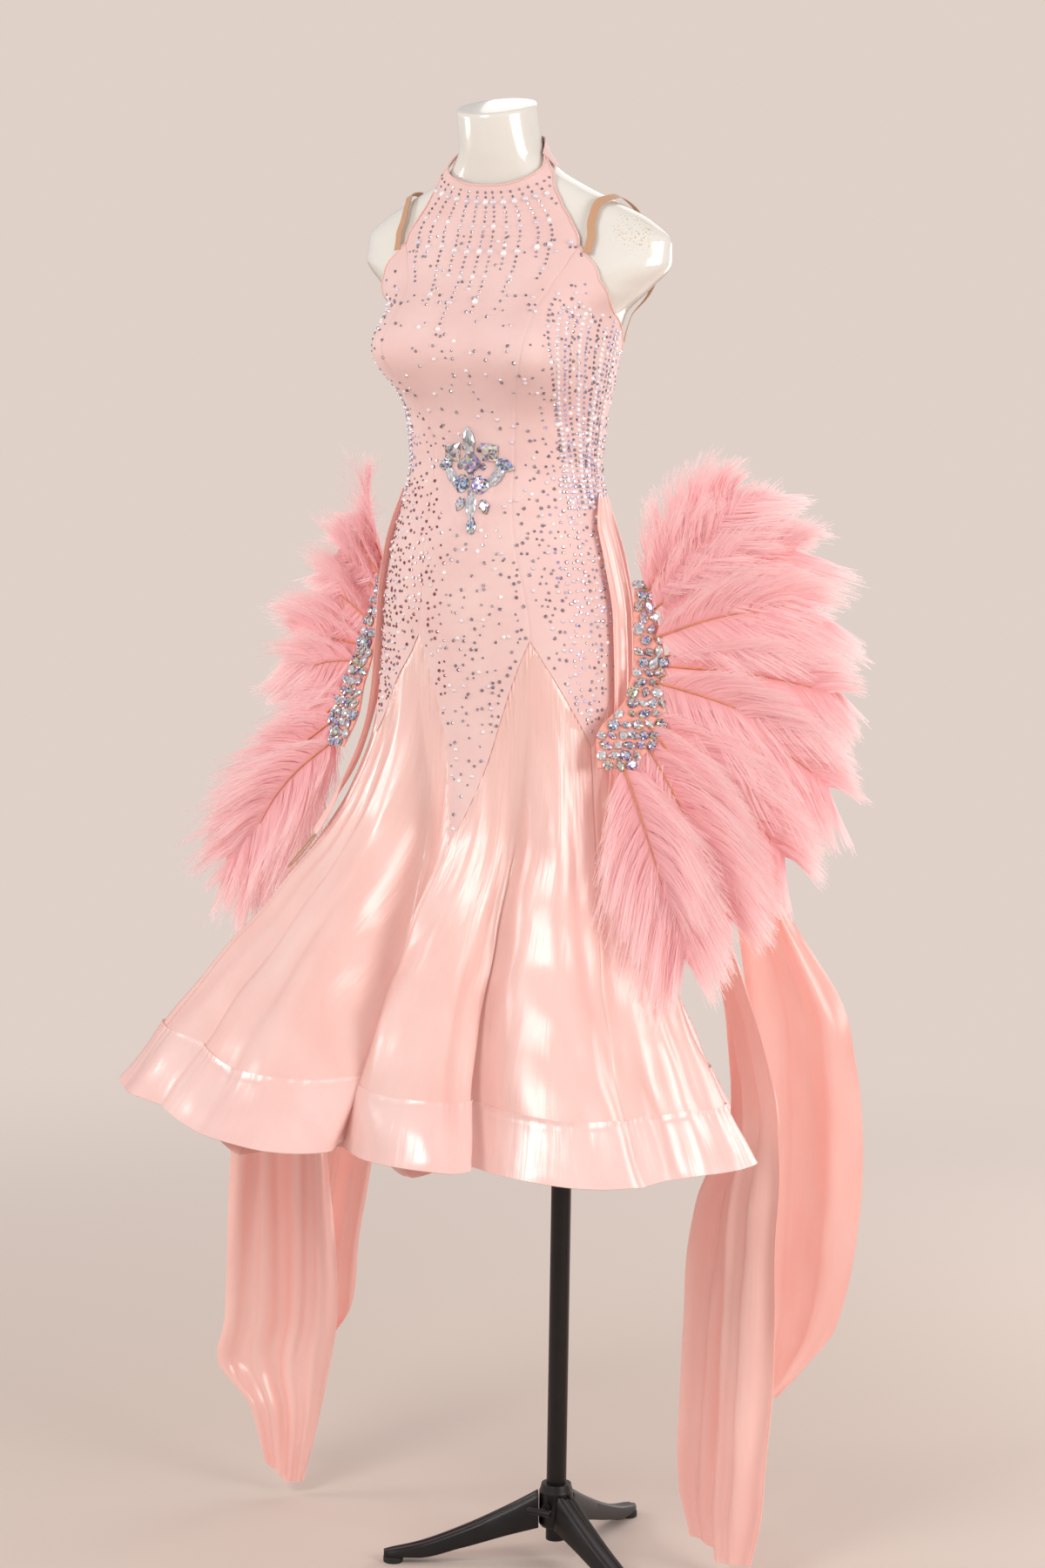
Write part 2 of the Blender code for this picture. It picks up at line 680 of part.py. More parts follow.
# ---------------------------------------------------------------- skirt
GORES = {
    "front_left": (0.0, 28.5, 60.0),
    "side_left": (60.0, 90.0, 124.0),
    "back_left": (124.0, 152.0, 180.0),
}
GORE_COLUMNS = 6            # on each side of its point
GORE_ROWS = 11
SKIRT_SEAM_DROP = 0.0042
SKIRT_SEAM_ANGLE = 0.7      # clear angle between two gores


def seam_shares(first, peak, last):
    """Columns of a gore, one of them on its point."""
    return [mix(first, peak, t) for t in steps(GORE_COLUMNS + 1)][:-1] + [
        mix(peak, last, t) for t in steps(GORE_COLUMNS + 1)
    ]


def make_gore(name, angles, sign):
    first, peak, last = angles
    columns = seam_shares(first, peak, last)
    columns[0] += SKIRT_SEAM_ANGLE / 2
    columns[-1] -= SKIRT_SEAM_ANGLE / 2
    gore, band = [], []
    for down in steps(GORE_ROWS):
        line = []
        for angle in columns:
            angle *= sign
            top = zigzag(angle) - SKIRT_SEAM_DROP
            bottom = hem_height(angle) + BAND_DEPTH + SEAM_GAP
            line.append(dress_point(mix(bottom, top, down), angle))
        gore.append(line)
    for down in steps(3):
        line = []
        for angle in columns:
            angle *= sign
            low = hem_height(angle)
            line.append(dress_point(mix(low, low + BAND_DEPTH, down), angle))
        band.append(line)
    cloth(f"gore_{name}", gore, "satin")
    cloth(f"hem_band_{name}", band, "satin", wall=BAND_WALL)


def make_skirt():
    for name, angles in GORES.items():
        make_gore(name, angles, 1)
        make_gore(name.replace("left", "right"), angles, -1)


UNDERSKIRT_IN = {"front": 0.021, "back": 0.016}
UNDERSKIRT_RISE = 0.010     # its hem is up inside the skirt, but hangs out below at the front
UNDERSKIRT_DROP = 0.026
DROP_ANGLE, DROP_SPREAD = 4.0, 20.0
UNDERSKIRT_TOP = 0.920


def make_underskirt():
    """A plainer skirt inside, whose hem hangs a little below the front hem."""
    for name, middle in (("front", 0.0), ("back", 180.0)):
        grid = []
        for up in steps(6):
            line = []
            for share in steps(33):
                angle = middle + mix(-89.4, 89.4, share)
                drop = UNDERSKIRT_DROP * math.exp(-((turned(angle - DROP_ANGLE) / DROP_SPREAD) ** 2))
                low = hem_height(angle) + UNDERSKIRT_RISE - drop
                height = mix(low, UNDERSKIRT_TOP, up)
                line.append(moved_out(dress_middle, height, angle, -UNDERSKIRT_IN[name]))
            grid.append(line)
        cloth(f"underskirt_{name}", grid, "satin")


# ---------------------------------------------------------------- hip drapes, fans and floats
def make_hip_drapes():
    for side, sign in (("left", 1), ("right", -1)):
        grid = []
        for share in steps(15):
            row = between(HIP_DRAPE[::-1], mix(HIP_DRAPE[-1].height, HIP_DRAPE[0].height, share))
            line = []
            for t in steps(7):
                angle = sign * mix(row.front_angle, row.back_angle, t)
                out = mix(row.front_out, row.back_out, t) + row.pleat * math.cos(3 * math.pi * t)
                line.append(dress_point(row.height, angle, out))
            grid.append(line)
        cloth(f"hip_drape_{side}", grid, "satin")


LOOP_HALF_ANGLE = 1.1
LOOP_DROP = 0.042
LOOP_OUT = 0.008
LOOP_CORD = 0.0009          # radius
LOOP_POINTS = 16


def make_drape_loop():
    """The elastic finger loop that hangs from the tail of the wearer's right drape."""
    tail = HIP_DRAPE[-1]
    curve = bpy.data.curves.new("drape_loop_right", "CURVE")
    curve.dimensions = "3D"
    curve.bevel_depth = LOOP_CORD
    curve.bevel_resolution = 2
    curve.use_fill_caps = True
    spline = curve.splines.new("POLY")
    spline.points.add(LOOP_POINTS)
    for index in range(LOOP_POINTS + 1):
        turn = 2 * math.pi * mix(0.06, 0.94, index / LOOP_POINTS) - math.pi / 2
        angle = -(tail.front_angle + tail.back_angle) / 2 + LOOP_HALF_ANGLE * math.cos(turn)
        height = tail.height - 0.0022 - LOOP_DROP / 2 * (1 + math.sin(turn))
        spline.points[index].co = (*dress_point(height, angle, LOOP_OUT), 1.0)
    curve.materials.append(material("elastic"))
    PARTS.objects.link(bpy.data.objects.new("drape_loop_right", curve))


def make_fans():
    """Stone-covered crescents at the hips, and the feathers that stand out from them."""
    for side, sign in (("left", 1), ("right", -1)):
        crescent = []
        feathers = []
        for share in steps(FAN_STEPS + 1):
            row = between(FAN, share)
            inner = Vector((sign * row.in_x, row.in_y, row.height))
            outer = Vector((sign * row.out_x, row.out_y, row.height))
            bulge = Vector((sign * CRESCENT_BULGE, -CRESCENT_BULGE, 0))
            crescent.append([inner, (inner + outer) / 2 + bulge, outer])
            feather = row if sign > 0 else between(RIGHT_FEATHERS, share)
            turn, lift = math.radians(feather.turn), math.radians(feather.lift)
            outward = Vector((sign * math.cos(turn), math.sin(turn), 0))
            outward = outward * math.cos(lift) + Vector((0, 0, math.sin(lift)))
            root = outer + outward * FEATHER_START + Vector((0, FEATHER_START, 0))
            wave = 1 + math.cos(2 * math.pi * share * FAN_STEPS / SCALLOP_STEPS)
            reach = feather.reach * (1 - SCALLOP * wave)
            drops = [Vector((0, 0, FAN_TIP_DROP * t**3)) for t in steps(FAN_ROWS)]
            feathers.append([root + outward * reach * t - drop for t, drop in zip(steps(FAN_ROWS), drops)])
        cloth(f"fan_base_{side}", crescent[::sign], "fan_base", wall=FAN_WALL)
        cloth(f"feather_fan_{side}", feathers[::sign], "feather", wall=FAN_THICKNESS)


def float_piece(name, rows, lift):
    """A float: a satin length that hangs free, waved across its width, its hem lifted at one end."""
    grid = []
    for share in steps(FLOAT_ROWS):
        row = between(rows[::-1], mix(rows[-1].height, rows[0].height, share))
        start, end = Vector((row.start_x, row.start_y, 0)), Vector((row.end_x, row.end_y, 0))
        across = (end - start).normalized()
        outward = across.cross(Vector((0, 0, 1)))
        line = []
        for t in steps(FLOAT_COLUMNS + 1):
            wave = row.wave * math.sin(2 * math.pi * FLOAT_WAVES * t + FLOAT_PHASE)
            place = start.lerp(end, t) + outward * wave
            hem = lift * max(0.0, 1 - share * FLOAT_ROWS / 2) * (t - 0.5) * 2
            place.z = row.height + (hem + abs(hem)) / 2
            line.append(place)
        grid.append(line)
    cloth(name, grid, "satin")


def make_floats():
    float_piece("float_left_fall", LEFT_FALL, LEFT_FALL_LIFT)
    float_piece("float_left_sail", LEFT_SAIL, LEFT_SAIL_LIFT)
    float_piece("float_right_fall", RIGHT_FALL, RIGHT_FALL_LIFT)
    float_piece("float_right_sail", RIGHT_SAIL, RIGHT_SAIL_LIFT)


# ---------------------------------------------------------------- dress form and stand
def make_form():
    """The torso shell: open below, cut on a slant and closed at the neck."""
    count = 32
    heights = [mix(FORM_BOTTOM, WAIST, share) for share in steps(9)]
    heights += [mix(WAIST, SHOULDER, share) for share in steps(11)][1:]
    heights += [mix(SHOULDER, FORM_NECK_ROW, share) for share in steps(11)][1:]
    points = []
    for height in heights:
        for index in range(count):
            points.append(form_point(height, index * 360 / count))
    for point in points[-count:]:
        point.z += NECK_CUT_RISE * (1 + (point.y + 0.049) / 0.05)
    faces = grid_faces(len(heights), count, closed=True)
    rim = len(points) - count
    crown = sum((points[rim + index] for index in range(count)), Vector()) / count
    inner = [points[rim + index].lerp(crown, 0.12) + Vector((0, -0.0004, 0.0022)) for index in range(count)]
    points += [*inner, crown + Vector((0, -0.0008, 0.0040))]
    faces += [
        (rim + index, rim + (index + 1) % count, rim + count + (index + 1) % count, rim + count + index)
        for index in range(count)
    ]
    last = rim + 2 * count
    faces += [(rim + count + index, rim + count + (index + 1) % count, last) for index in range(count)]
    made = mesh_object("form_torso", points, faces, "form")
    thick = made.modifiers.new("wall", "SOLIDIFY")
    thick.thickness = FORM_WALL
    thick.offset = -1.0


def make_base_plate():
    """The plate inside the form's lower edge, which sits on the pole."""
    count = 40
    points = []
    for height in (PLATE_LOW, PLATE_LOW + BASE_PLATE):
        for index in range(count):
            point = moved_out(form_point, height, index * 360 / count, -PLATE_INSET)
            point.z = height
            points.append(point)
    faces = grid_faces(2, count, closed=True)
    faces += [tuple(reversed(range(count))), tuple(range(count, 2 * count))]
    mesh_object("form_base_plate", points, faces, "form").data.shade_flat()


def turned_profile(name, profile, place, finish, closed=False):
    """A turned piece: a profile of (radius, height) from top to bottom, spun round a vertical axis."""
    data = bpy.data.meshes.new(name)
    edges = [(index, index + 1) for index in range(len(profile) - 1)]
    if closed:
        edges.append((len(profile) - 1, 0))
    data.from_pydata([(radius, 0, height) for radius, height in profile], edges, [])
    data.materials.append(material(finish))
    made = bpy.data.objects.new(name, data)
    made.location = place
    PARTS.objects.link(made)
    spin = made.modifiers.new("spin", "SCREW")
    spin.steps = 24
    spin.render_steps = 24
    spin.use_merge_vertices = True
    spin.merge_threshold = 0.00005
    return made


def make_stand():
    axis = Vector((POLE[0], POLE[1], 0))
    pole_top = PLATE_LOW - RUN_GAP
    turned_profile(
        "pole",
        [(0, pole_top), (POLE_RADIUS - 0.001, pole_top), (POLE_RADIUS, pole_top - 0.001),
         (POLE_RADIUS, POLE_BOTTOM + 0.001), (POLE_RADIUS - 0.001, POLE_BOTTOM), (0, POLE_BOTTOM)],
        axis,
        "steel",
    )
    bore = POLE_RADIUS + RUN_GAP
    turned_profile(
        "hub",
        [(bore, HUB_HIGH), (HUB_RADIUS - 0.004, HUB_HIGH), (HUB_RADIUS - 0.001, HUB_HIGH - 0.002),
         (HUB_RADIUS, HUB_HIGH - 0.006), (HUB_RADIUS, HUB_LOW + 0.003), (HUB_RADIUS - 0.002, HUB_LOW),
         (bore, HUB_LOW)],
        axis,
        "steel",
        closed=True,
    )
    for name, angle in LEG_ANGLES.items():
        make_leg(name, math.radians(angle), axis)
    make_clamp_screw(axis)


def make_leg(name, angle, axis):
    """A tapered leg of folded sheet from the hub to its rubber foot."""
    along = Vector((math.cos(angle), math.sin(angle), 0))
    across = Vector((-math.sin(angle), math.cos(angle), 0))
    points = []
    for row in LEG:
        for side, height in ((-1, row.low), (1, row.low), (0.72, row.high), (-0.72, row.high)):
            points.append(axis + along * row.reach + across * side * row.half_width + Vector((0, 0, height)))
    faces = [
        (base + corner, base + (corner + 1) % 4, base + 4 + (corner + 1) % 4, base + 4 + corner)
        for base in range(0, 4 * (len(LEG) - 1), 4)
        for corner in range(4)
    ]
    last = 4 * (len(LEG) - 1)
    faces += [(3, 2, 1, 0), (last, last + 1, last + 2, last + 3)]
    leg = mesh_object(f"leg_{name}", points, faces, "steel")
    leg.data.shade_flat()
    rounded = leg.modifiers.new("edges", "BEVEL")
    rounded.width = 0.0016
    rounded.segments = 1
    rounded.limit_method = "ANGLE"
    turned_profile(
        f"foot_{name}",
        [(0, FOOT_HEIGHT), (FOOT_RADIUS - 0.001, FOOT_HEIGHT), (FOOT_RADIUS, FOOT_HEIGHT - 0.001),
         (FOOT_RADIUS, 0.001), (FOOT_RADIUS - 0.001, 0), (0, 0)],
        axis + along * LEG_REACH,
        "rubber",
    )


def make_clamp_screw(axis):
    """The T-handled screw at the hub's front that grips the pole: it turns on its own axis."""
    start = HUB_RADIUS + SCREW_CLEAR
    segments = 16
    mesh = bmesh.new()
    for radius, length in ((SCREW_RADIUS, SCREW_REACH - start), (COLLAR_RADIUS, COLLAR_LENGTH)):
        made = bmesh.ops.create_cone(
            mesh, cap_ends=True, segments=segments, radius1=radius, radius2=radius, depth=length
        )
        bmesh.ops.translate(mesh, verts=made["verts"], vec=(0, 0, start + length / 2))
    data = bpy.data.meshes.new("clamp_screw")
    mesh.to_mesh(data)
    mesh.free()
    data.materials.append(material("steel"))
    screw = bpy.data.objects.new("clamp_screw", data)
    screw.location = axis + Vector((0, 0, SCREW_HEIGHT))
    screw.rotation_euler = (math.radians(90), 0, 0)
    PARTS.objects.link(screw)
    handle_mesh = bmesh.new()
    bmesh.ops.create_cone(
        handle_mesh,
        cap_ends=True,
        segments=segments,
        radius1=HANDLE_RADIUS,
        radius2=HANDLE_RADIUS,
        depth=2 * HANDLE_HALF,
    )
    handle_data = bpy.data.meshes.new("clamp_handle_form")
    handle_mesh.to_mesh(handle_data)
    handle_mesh.free()
    handle = bpy.data.objects.new("clamp_handle_form", handle_data)
    handle.location = axis + Vector((0, -SCREW_REACH, SCREW_HEIGHT))
    handle.rotation_euler = (0, math.radians(90), 0)
    handle.hide_render = True
    handle.display_type = "WIRE"
    HELPERS.objects.link(handle)
    split = screw.modifiers.new("collar", "BOOLEAN")
    split.operation = "UNION"
    split.object = handle
    split.use_self = True


def centre_on_floor():
    """Moves everything level, so that the whole object's box is centred on X = Y = 0."""
    bpy.context.view_layer.update()
    graph = bpy.context.evaluated_depsgraph_get()
    low, high = [math.inf, math.inf], [-math.inf, -math.inf]
    for part in PARTS.objects:
        shape = part.evaluated_get(graph)
        mesh = shape.to_mesh()
        for vertex in mesh.vertices:
            place = part.matrix_world @ vertex.co
            low = [min(low[axis], place[axis]) for axis in range(2)]
            high = [max(high[axis], place[axis]) for axis in range(2)]
        shape.to_mesh_clear()
    shift = Vector((-(low[0] + high[0]) / 2, -(low[1] + high[1]) / 2, 0))
    for part in [*PARTS.objects, *HELPERS.objects]:
        part.location += shift
    print("moved level by", tuple(round(value, 5) for value in shift))


for leftover in list(bpy.data.objects):
    bpy.data.objects.remove(leftover)
PARTS = collection_named("ballroom_dress_on_form")
HELPERS = collection_named("helpers")

make_form()
make_base_plate()
make_stand()
make_bodice()
make_halter_band()
make_arm_straps()
make_applique()
make_skirt()
make_underskirt()
make_hip_drapes()
make_drape_loop()
make_fans()
make_floats()
centre_on_floor()
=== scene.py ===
"""Ballroom dance dress on a dress form and tripod stand: the looks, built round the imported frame.

Lengths are in metres. The dress faces -Y and the wearer's left is +X. Angles round the body run from
the centre front (0) to the wearer's left (90) and the centre back (180); a surface of the dress is
always read at a height and an angle.
"""

import logging
from dataclasses import dataclass, field
from enum import Enum
from math import cos, degrees, exp, pi, radians, sin
from typing import Callable, Sequence

import bpy
import numpy as np
from mathutils import Matrix, Vector


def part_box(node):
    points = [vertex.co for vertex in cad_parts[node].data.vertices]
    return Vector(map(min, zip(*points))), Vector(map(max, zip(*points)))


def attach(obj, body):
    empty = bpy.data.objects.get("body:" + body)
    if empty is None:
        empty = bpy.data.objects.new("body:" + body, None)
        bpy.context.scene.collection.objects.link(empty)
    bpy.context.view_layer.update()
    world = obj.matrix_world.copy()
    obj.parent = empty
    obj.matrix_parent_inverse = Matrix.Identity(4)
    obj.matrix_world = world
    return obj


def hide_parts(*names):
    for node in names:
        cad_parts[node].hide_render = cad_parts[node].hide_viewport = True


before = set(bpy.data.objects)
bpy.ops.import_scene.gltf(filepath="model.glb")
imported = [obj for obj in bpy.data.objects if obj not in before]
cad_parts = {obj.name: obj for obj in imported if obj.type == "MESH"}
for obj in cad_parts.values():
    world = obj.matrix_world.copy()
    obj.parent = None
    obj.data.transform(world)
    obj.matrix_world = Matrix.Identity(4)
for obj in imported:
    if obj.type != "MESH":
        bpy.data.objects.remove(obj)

LOG = logging.getLogger("dress")
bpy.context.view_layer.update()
BODY = "dress_and_stand"
SCREW_BODY = "clamp_screw"
POLE = (0.055, 0.043)


def axis_shift() -> np.ndarray:
    """Returns how far the body axis stands from the frame's origin, found from the pole."""
    low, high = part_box("pole")
    return np.array([(low[0] + high[0]) / 2 - POLE[0], (low[1] + high[1]) / 2 - POLE[1], 0.0])


SHIFT = axis_shift()
UP = Vector((0, 0, 1))
Array = np.ndarray
Material, Object, Socket = bpy.types.Material, bpy.types.Object, bpy.types.NodeSocket
Colour = tuple[float, float, float]
SIDES = (("left", 1), ("right", -1))
CLOTH = 0.0009   # how thick a shell of satin or crepe is


# ---------- curves through tables
def soft_slopes(before: Array, after: Array) -> Array:
    """Returns slopes from the steps on both sides, level at each peak and dip."""
    product = before * after
    total = np.where(product > 0, before + after, 1.0)
    return np.where(product > 0, 2 * product / total, 0.0)


def between(values: Array, slopes: Array, index: Array | int, span: Array, t: Array) -> Array:
    """Returns a cubic's values between the rows at index and after it, at a share t of the span."""
    return (
        values[index] * (1 + 2 * t) * (1 - t) ** 2 + slopes[index] * span * t * (1 - t) ** 2
        + values[index + 1] * t * t * (3 - 2 * t) + slopes[index + 1] * span * t * t * (t - 1)
    )


class Table:
    """Smooth curves through the rows of a short table, flat at each peak and dip."""

    def __init__(self, rows: Sequence[Sequence[float]]) -> None:
        """Args: rows: the rows, whose first column is the one they are read by."""
        values = np.array(rows, float)
        values = values[np.argsort(values[:, 0])]
        self.at, self.columns = values[:, 0], values[:, 1:]
        steps = np.diff(self.columns, axis=0) / np.diff(self.at)[:, None]
        self.slopes = np.concatenate([steps[:1], soft_slopes(steps[:-1], steps[1:]), steps[-1:]])

    def __call__(self, value: Array | float) -> Array:
        """Reads the table.

        Args:
            value: where to read it, one number or an array.
        Returns:
            The other columns there, along a new last axis.
        """
        value = np.clip(np.asarray(value, float), self.at[0], self.at[-1])
        index = np.clip(np.searchsorted(self.at, value, side="right") - 1, 0, len(self.at) - 2)
        span = (self.at[index + 1] - self.at[index])[..., None]
        t = (value - self.at[index])[..., None] / span
        return between(self.columns, self.slopes, index, span, t)


def straight(rows: Sequence[Sequence[float]], value: Array | float) -> Array:
    """Returns a two-column table read on straight lines between its rows."""
    values = np.array(rows, float)
    return np.interp(value, values[:, 0], values[:, 1])


def turned(angle: Array | float) -> Array:
    """Returns the same angle between -180 and 180."""
    return (np.asarray(angle, float) + 180.0) % 360.0 - 180.0


def eased(value: Array | float) -> Array:
    """Returns a soft step from 0 to 1 over the same span."""
    value = np.clip(value, 0.0, 1.0)
    return value * value * (3 - 2 * value)


def bell(value: Array | float, width: Array | float) -> Array:
    """Returns a smooth bump, 1 at zero and all but gone at twice the width."""
    return np.exp(-((value / width) ** 2))


def matched(*values: Array | float) -> list[Array]:
    """Returns values as arrays of one shape."""
    return np.broadcast_arrays(*(np.asarray(value, float) for value in values))


def unit(vectors: Array) -> Array:
    """Returns the vectors at length 1."""
    return vectors / np.maximum(np.linalg.norm(vectors, axis=-1, keepdims=True), 1e-12)


# ---------- the garment's surface
@dataclass(frozen=True)
class Garment:
    """The surface that the dress lies on, from its own tables.

    The skirt's hem is a tilted circle, highest at hem_high_side. bust is the angle of a cup's middle
    on each side, its spread in degrees and its height; the two reaches are how far a cup stands out in
    cloth and on the form. twist_by is how many degrees the dress has turned on the form.
    """

    skirt_top: float = 1.2
    hem_height: float = 0.597
    hem_tilt: float = 0.036
    hem_high_side: float = -70.0
    band_depth: float = 0.069
    ease: float = 0.004
    twist_by: float = 6.0
    bust: tuple[float, float, float] = (33.0, 24.0, 1.522)
    cloth_reach: float = 0.048
    form_reach: float = 0.044
    torso: Table = Table((   # height, half width, front, back, middle x, middle y, roundness
        (1.07, 0.137, 0.098, 0.104, 0.0, -0.024, 2.0), (1.2, 0.149, 0.11, 0.111, 0.0, -0.028, 2.0),
        (1.28, 0.14, 0.104, 0.102, -0.002, -0.026, 2.0), (1.34, 0.126, 0.093, 0.09, -0.003, -0.023, 2.0),
        (1.39, 0.118, 0.084, 0.084, -0.003, -0.022, 2.0), (1.44, 0.122, 0.09, 0.087, -0.003, -0.022, 2.0),
        (1.49, 0.132, 0.104, 0.093, -0.004, -0.02, 2.0), (1.53, 0.139, 0.112, 0.097, -0.004, -0.018, 2.0),
        (1.57, 0.147, 0.104, 0.098, -0.003, -0.014, 2.0), (1.6, 0.177, 0.094, 0.094, -0.001, -0.01, 1.9),
        (1.632, 0.205, 0.084, 0.09, 0.0, -0.008, 1.8), (1.657, 0.204, 0.077, 0.085, 0.0, -0.006, 1.75),
        (1.68, 0.18, 0.07, 0.08, -0.001, -0.006, 1.75), (1.7, 0.142, 0.064, 0.074, -0.002, -0.01, 1.8),
        (1.72, 0.1, 0.058, 0.066, -0.003, -0.018, 1.9), (1.74, 0.068, 0.053, 0.058, -0.004, -0.03, 2.0),
        (1.762, 0.0515, 0.05, 0.052, -0.004, -0.042, 2.0), (1.8, 0.048, 0.048, 0.048, -0.006, -0.052, 2.0),
        (1.83, 0.0465, 0.047, 0.047, -0.007, -0.056, 2.0),
    ))
    skirt: Table = Table((   # share down to the hem, half width, front, back, middle x, y, folds
        (0.0, 0.149, 0.11, 0.111, 0.0, -0.028, 0.0), (0.2, 0.158, 0.114, 0.12, 0.001, -0.03, 0.08),
        (0.4, 0.19, 0.134, 0.152, -0.008, -0.038, 0.32), (0.6, 0.246, 0.2, 0.213, -0.028, -0.052, 0.66),
        (0.8, 0.316, 0.296, 0.292, -0.044, -0.063, 0.88), (1.0, 0.388, 0.386, 0.368, -0.05, -0.07, 1.0),
    ))
    folds: tuple[tuple[float, float, float], ...] = (   # angle at the hip, angle at the hem, reach at the hem
        (-168.0, -166.0, 0.006), (-150.0, -148.0, -0.086), (-132.0, -130.0, 0.0), (-114.0, -113.0, -0.084),
        (-92.0, -90.0, 0.01), (-76.0, -74.0, -0.026), (-62.0, -54.0, 0.006), (-48.0, -34.0, -0.02),
        (-38.0, -9.0, 0.012), (-27.0, 5.0, -0.13), (0.0, 22.0, -0.034), (27.0, 37.0, -0.112),
        (42.0, 58.0, 0.004), (62.0, 76.0, -0.022), (88.0, 98.0, 0.006), (112.0, 121.0, -0.094),
        (133.0, 139.0, 0.004), (152.0, 156.0, -0.088), (172.0, 175.0, 0.006), (183.0, 184.0, -0.03),
    )
    corners: tuple[tuple[float, float], ...] = (   # angle and height of the crepe's points and valleys
        (0.0, 0.942), (28.5, 1.19), (60.0, 1.062), (90.0, 1.18), (124.0, 1.03), (152.0, 1.186), (180.0, 0.94),
    )

    def ring(
        self, row: Array, angle: Array, roundness: Array | float, reach: Array | float
    ) -> tuple[Array, Array]:
        """Returns the x and y of a section's outline, moved out by a reach."""
        side, ahead = np.sin(np.radians(angle)), np.cos(np.radians(angle))
        power = 2.0 / roundness
        depth = np.where(ahead > 0, row[..., 1], row[..., 2])
        x = row[..., 3] + (row[..., 0] + reach) * np.copysign(np.abs(side) ** power, side)
        y = row[..., 4] - (depth + reach) * np.copysign(np.abs(ahead) ** power, ahead)
        return x, y

    def bust_level(self, height: Array) -> Array:
        """Returns how far a height is part of the bust, from 0 to 1."""
        spread = np.where(height > self.bust[2], 0.062, 0.045)
        return bell(height - self.bust[2], spread)

    def form(self, height: Array, angle: Array, reach: float | None = None) -> Array:
        """Returns points of the dress form's outside."""
        reach = self.form_reach if reach is None else reach
        height, angle = matched(height, angle)
        row = self.torso(height)
        x, y = self.ring(row, angle, row[..., 5], 0.0)
        level = self.bust_level(height)
        for cup in (-self.bust[0], self.bust[0]):
            out = reach * level * bell(turned(angle - cup), self.bust[1])
            x = x + out * sin(radians(cup))
            y = y - out * cos(radians(cup))
        return np.stack([x, y, height], -1)

    def on_form(self, height: Array, angle: Array) -> Array:
        """Returns points of the cloth where it lies on the form, taut between the cups."""
        points = self.form(height, angle, self.cloth_reach)
        points[..., 1] -= 0.012 * self.bust_level(height) * bell(turned(angle), 20.0)
        return points

    def hem(self, angle: Array) -> Array:
        """Returns the hem's height."""
        return self.hem_height + self.hem_tilt * np.cos(np.radians(angle - self.hem_high_side))

    def fold_reach(self, angle: Array, share: Array) -> Array:
        """Returns how far the folds carry the hem out or in, on the way from hip (0) to hem (1)."""
        folds = np.array(self.folds)
        folds = np.concatenate([folds[-2:] - [360, 360, 0], folds, folds[:2] + [360, 360, 0]])
        knots = folds[:, 0] + (folds[:, 1] - folds[:, 0]) * share[..., None]
        angle = turned(angle)
        slope = (folds[1:, 2] - folds[:-1, 2]) / (knots[..., 1:] - knots[..., :-1])
        bend = np.zeros(knots.shape)
        bend[..., 1:-1] = soft_slopes(slope[..., 1:], slope[..., :-1])
        bend = np.moveaxis(bend, -1, 0)
        reach = np.zeros(angle.shape)
        for index in range(len(folds) - 1):
            low, high = knots[..., index], knots[..., index + 1]
            here = (angle >= low) & (angle < high)
            t = np.where(here, (angle - low) / (high - low), 0.0)
            reach = np.where(here, between(folds[:, 2], bend, index, high - low, t), reach)
        return reach

    def share(self, height: Array, angle: Array) -> Array:
        """Returns the share of the way from the hip down to the hem."""
        return (self.skirt_top - height) / (self.skirt_top - self.hem(angle))

    def in_skirt(self, height: Array, angle: Array) -> Array:
        """Returns points of the skirt's resting surface."""
        share = self.share(height, angle)
        row = self.skirt(share)
        x, y = self.ring(row, angle, 2.0, row[..., 5] * self.fold_reach(angle, np.clip(share, 0.0, 1.0)))
        return np.stack([x, y, height], -1)

    def twist(self, height: Array) -> Array:
        """Returns how far the dress has turned on the form."""
        return self.twist_by * eased((1.36 - height) / 0.16)

    def middle(self, height: Array, angle: Array) -> Array:
        """Returns points of the dress before it is eased off the form."""
        height, angle = matched(height, angle)
        angle = angle + self.twist(height)
        low = self.in_skirt(np.minimum(height, self.skirt_top), angle)
        low[..., 2] = height
        return np.where((height >= self.skirt_top)[..., None], self.on_form(height, angle), low)

    def normal(self, height: Array, angle: Array) -> Array:
        """Returns the outward normals of the dress."""
        height, angle = matched(height, angle)
        up = self.middle(height + 0.004, angle) - self.middle(height - 0.004, angle)
        return unit(np.cross(self.middle(height, angle + 1.0) - self.middle(height, angle - 1.0), up))

    def dress(self, height: Array, angle: Array, out: Array | float = 0.0) -> Array:
        """Returns points of the dress in the frame, moved out along its normals."""
        height, angle = matched(height, angle)
        out = np.broadcast_to(np.asarray(out, float), height.shape)
        return self.middle(height, angle) + self.normal(height, angle) * (self.ease + out)[..., None] + SHIFT

    def zigzag(self, angle: Array) -> Array:
        """Returns the height where crepe meets satin; the long front point's sides bow up."""
        away = np.abs(turned(angle))
        return straight(self.corners, away) + 0.026 * np.sin(pi * np.minimum(away / 28.5, 1.0))

    def radius(self, height: Array, angle: Array) -> Array:
        """Returns the surface's distance from the middle, which turns lengths into angles."""
        point = self.middle(height, angle)
        return np.maximum(0.04, np.hypot(point[..., 0], point[..., 1] + 0.03))


GARMENT = Garment()


# ---------- mesh code for cloth and trims
def grid_quads(rows: int, columns: int, closed: bool = False) -> Array:
    """Returns the quads of a grid whose points run along each row in turn."""
    across = columns if closed else columns - 1
    row, column = np.meshgrid(np.arange(rows - 1), np.arange(across), indexing="ij")
    after = (column + 1) % columns
    low, high = row * columns, (row + 1) * columns
    quads = [low + column, low + after, high + after, high + column]
    return np.stack(quads, -1).reshape(-1, 4)


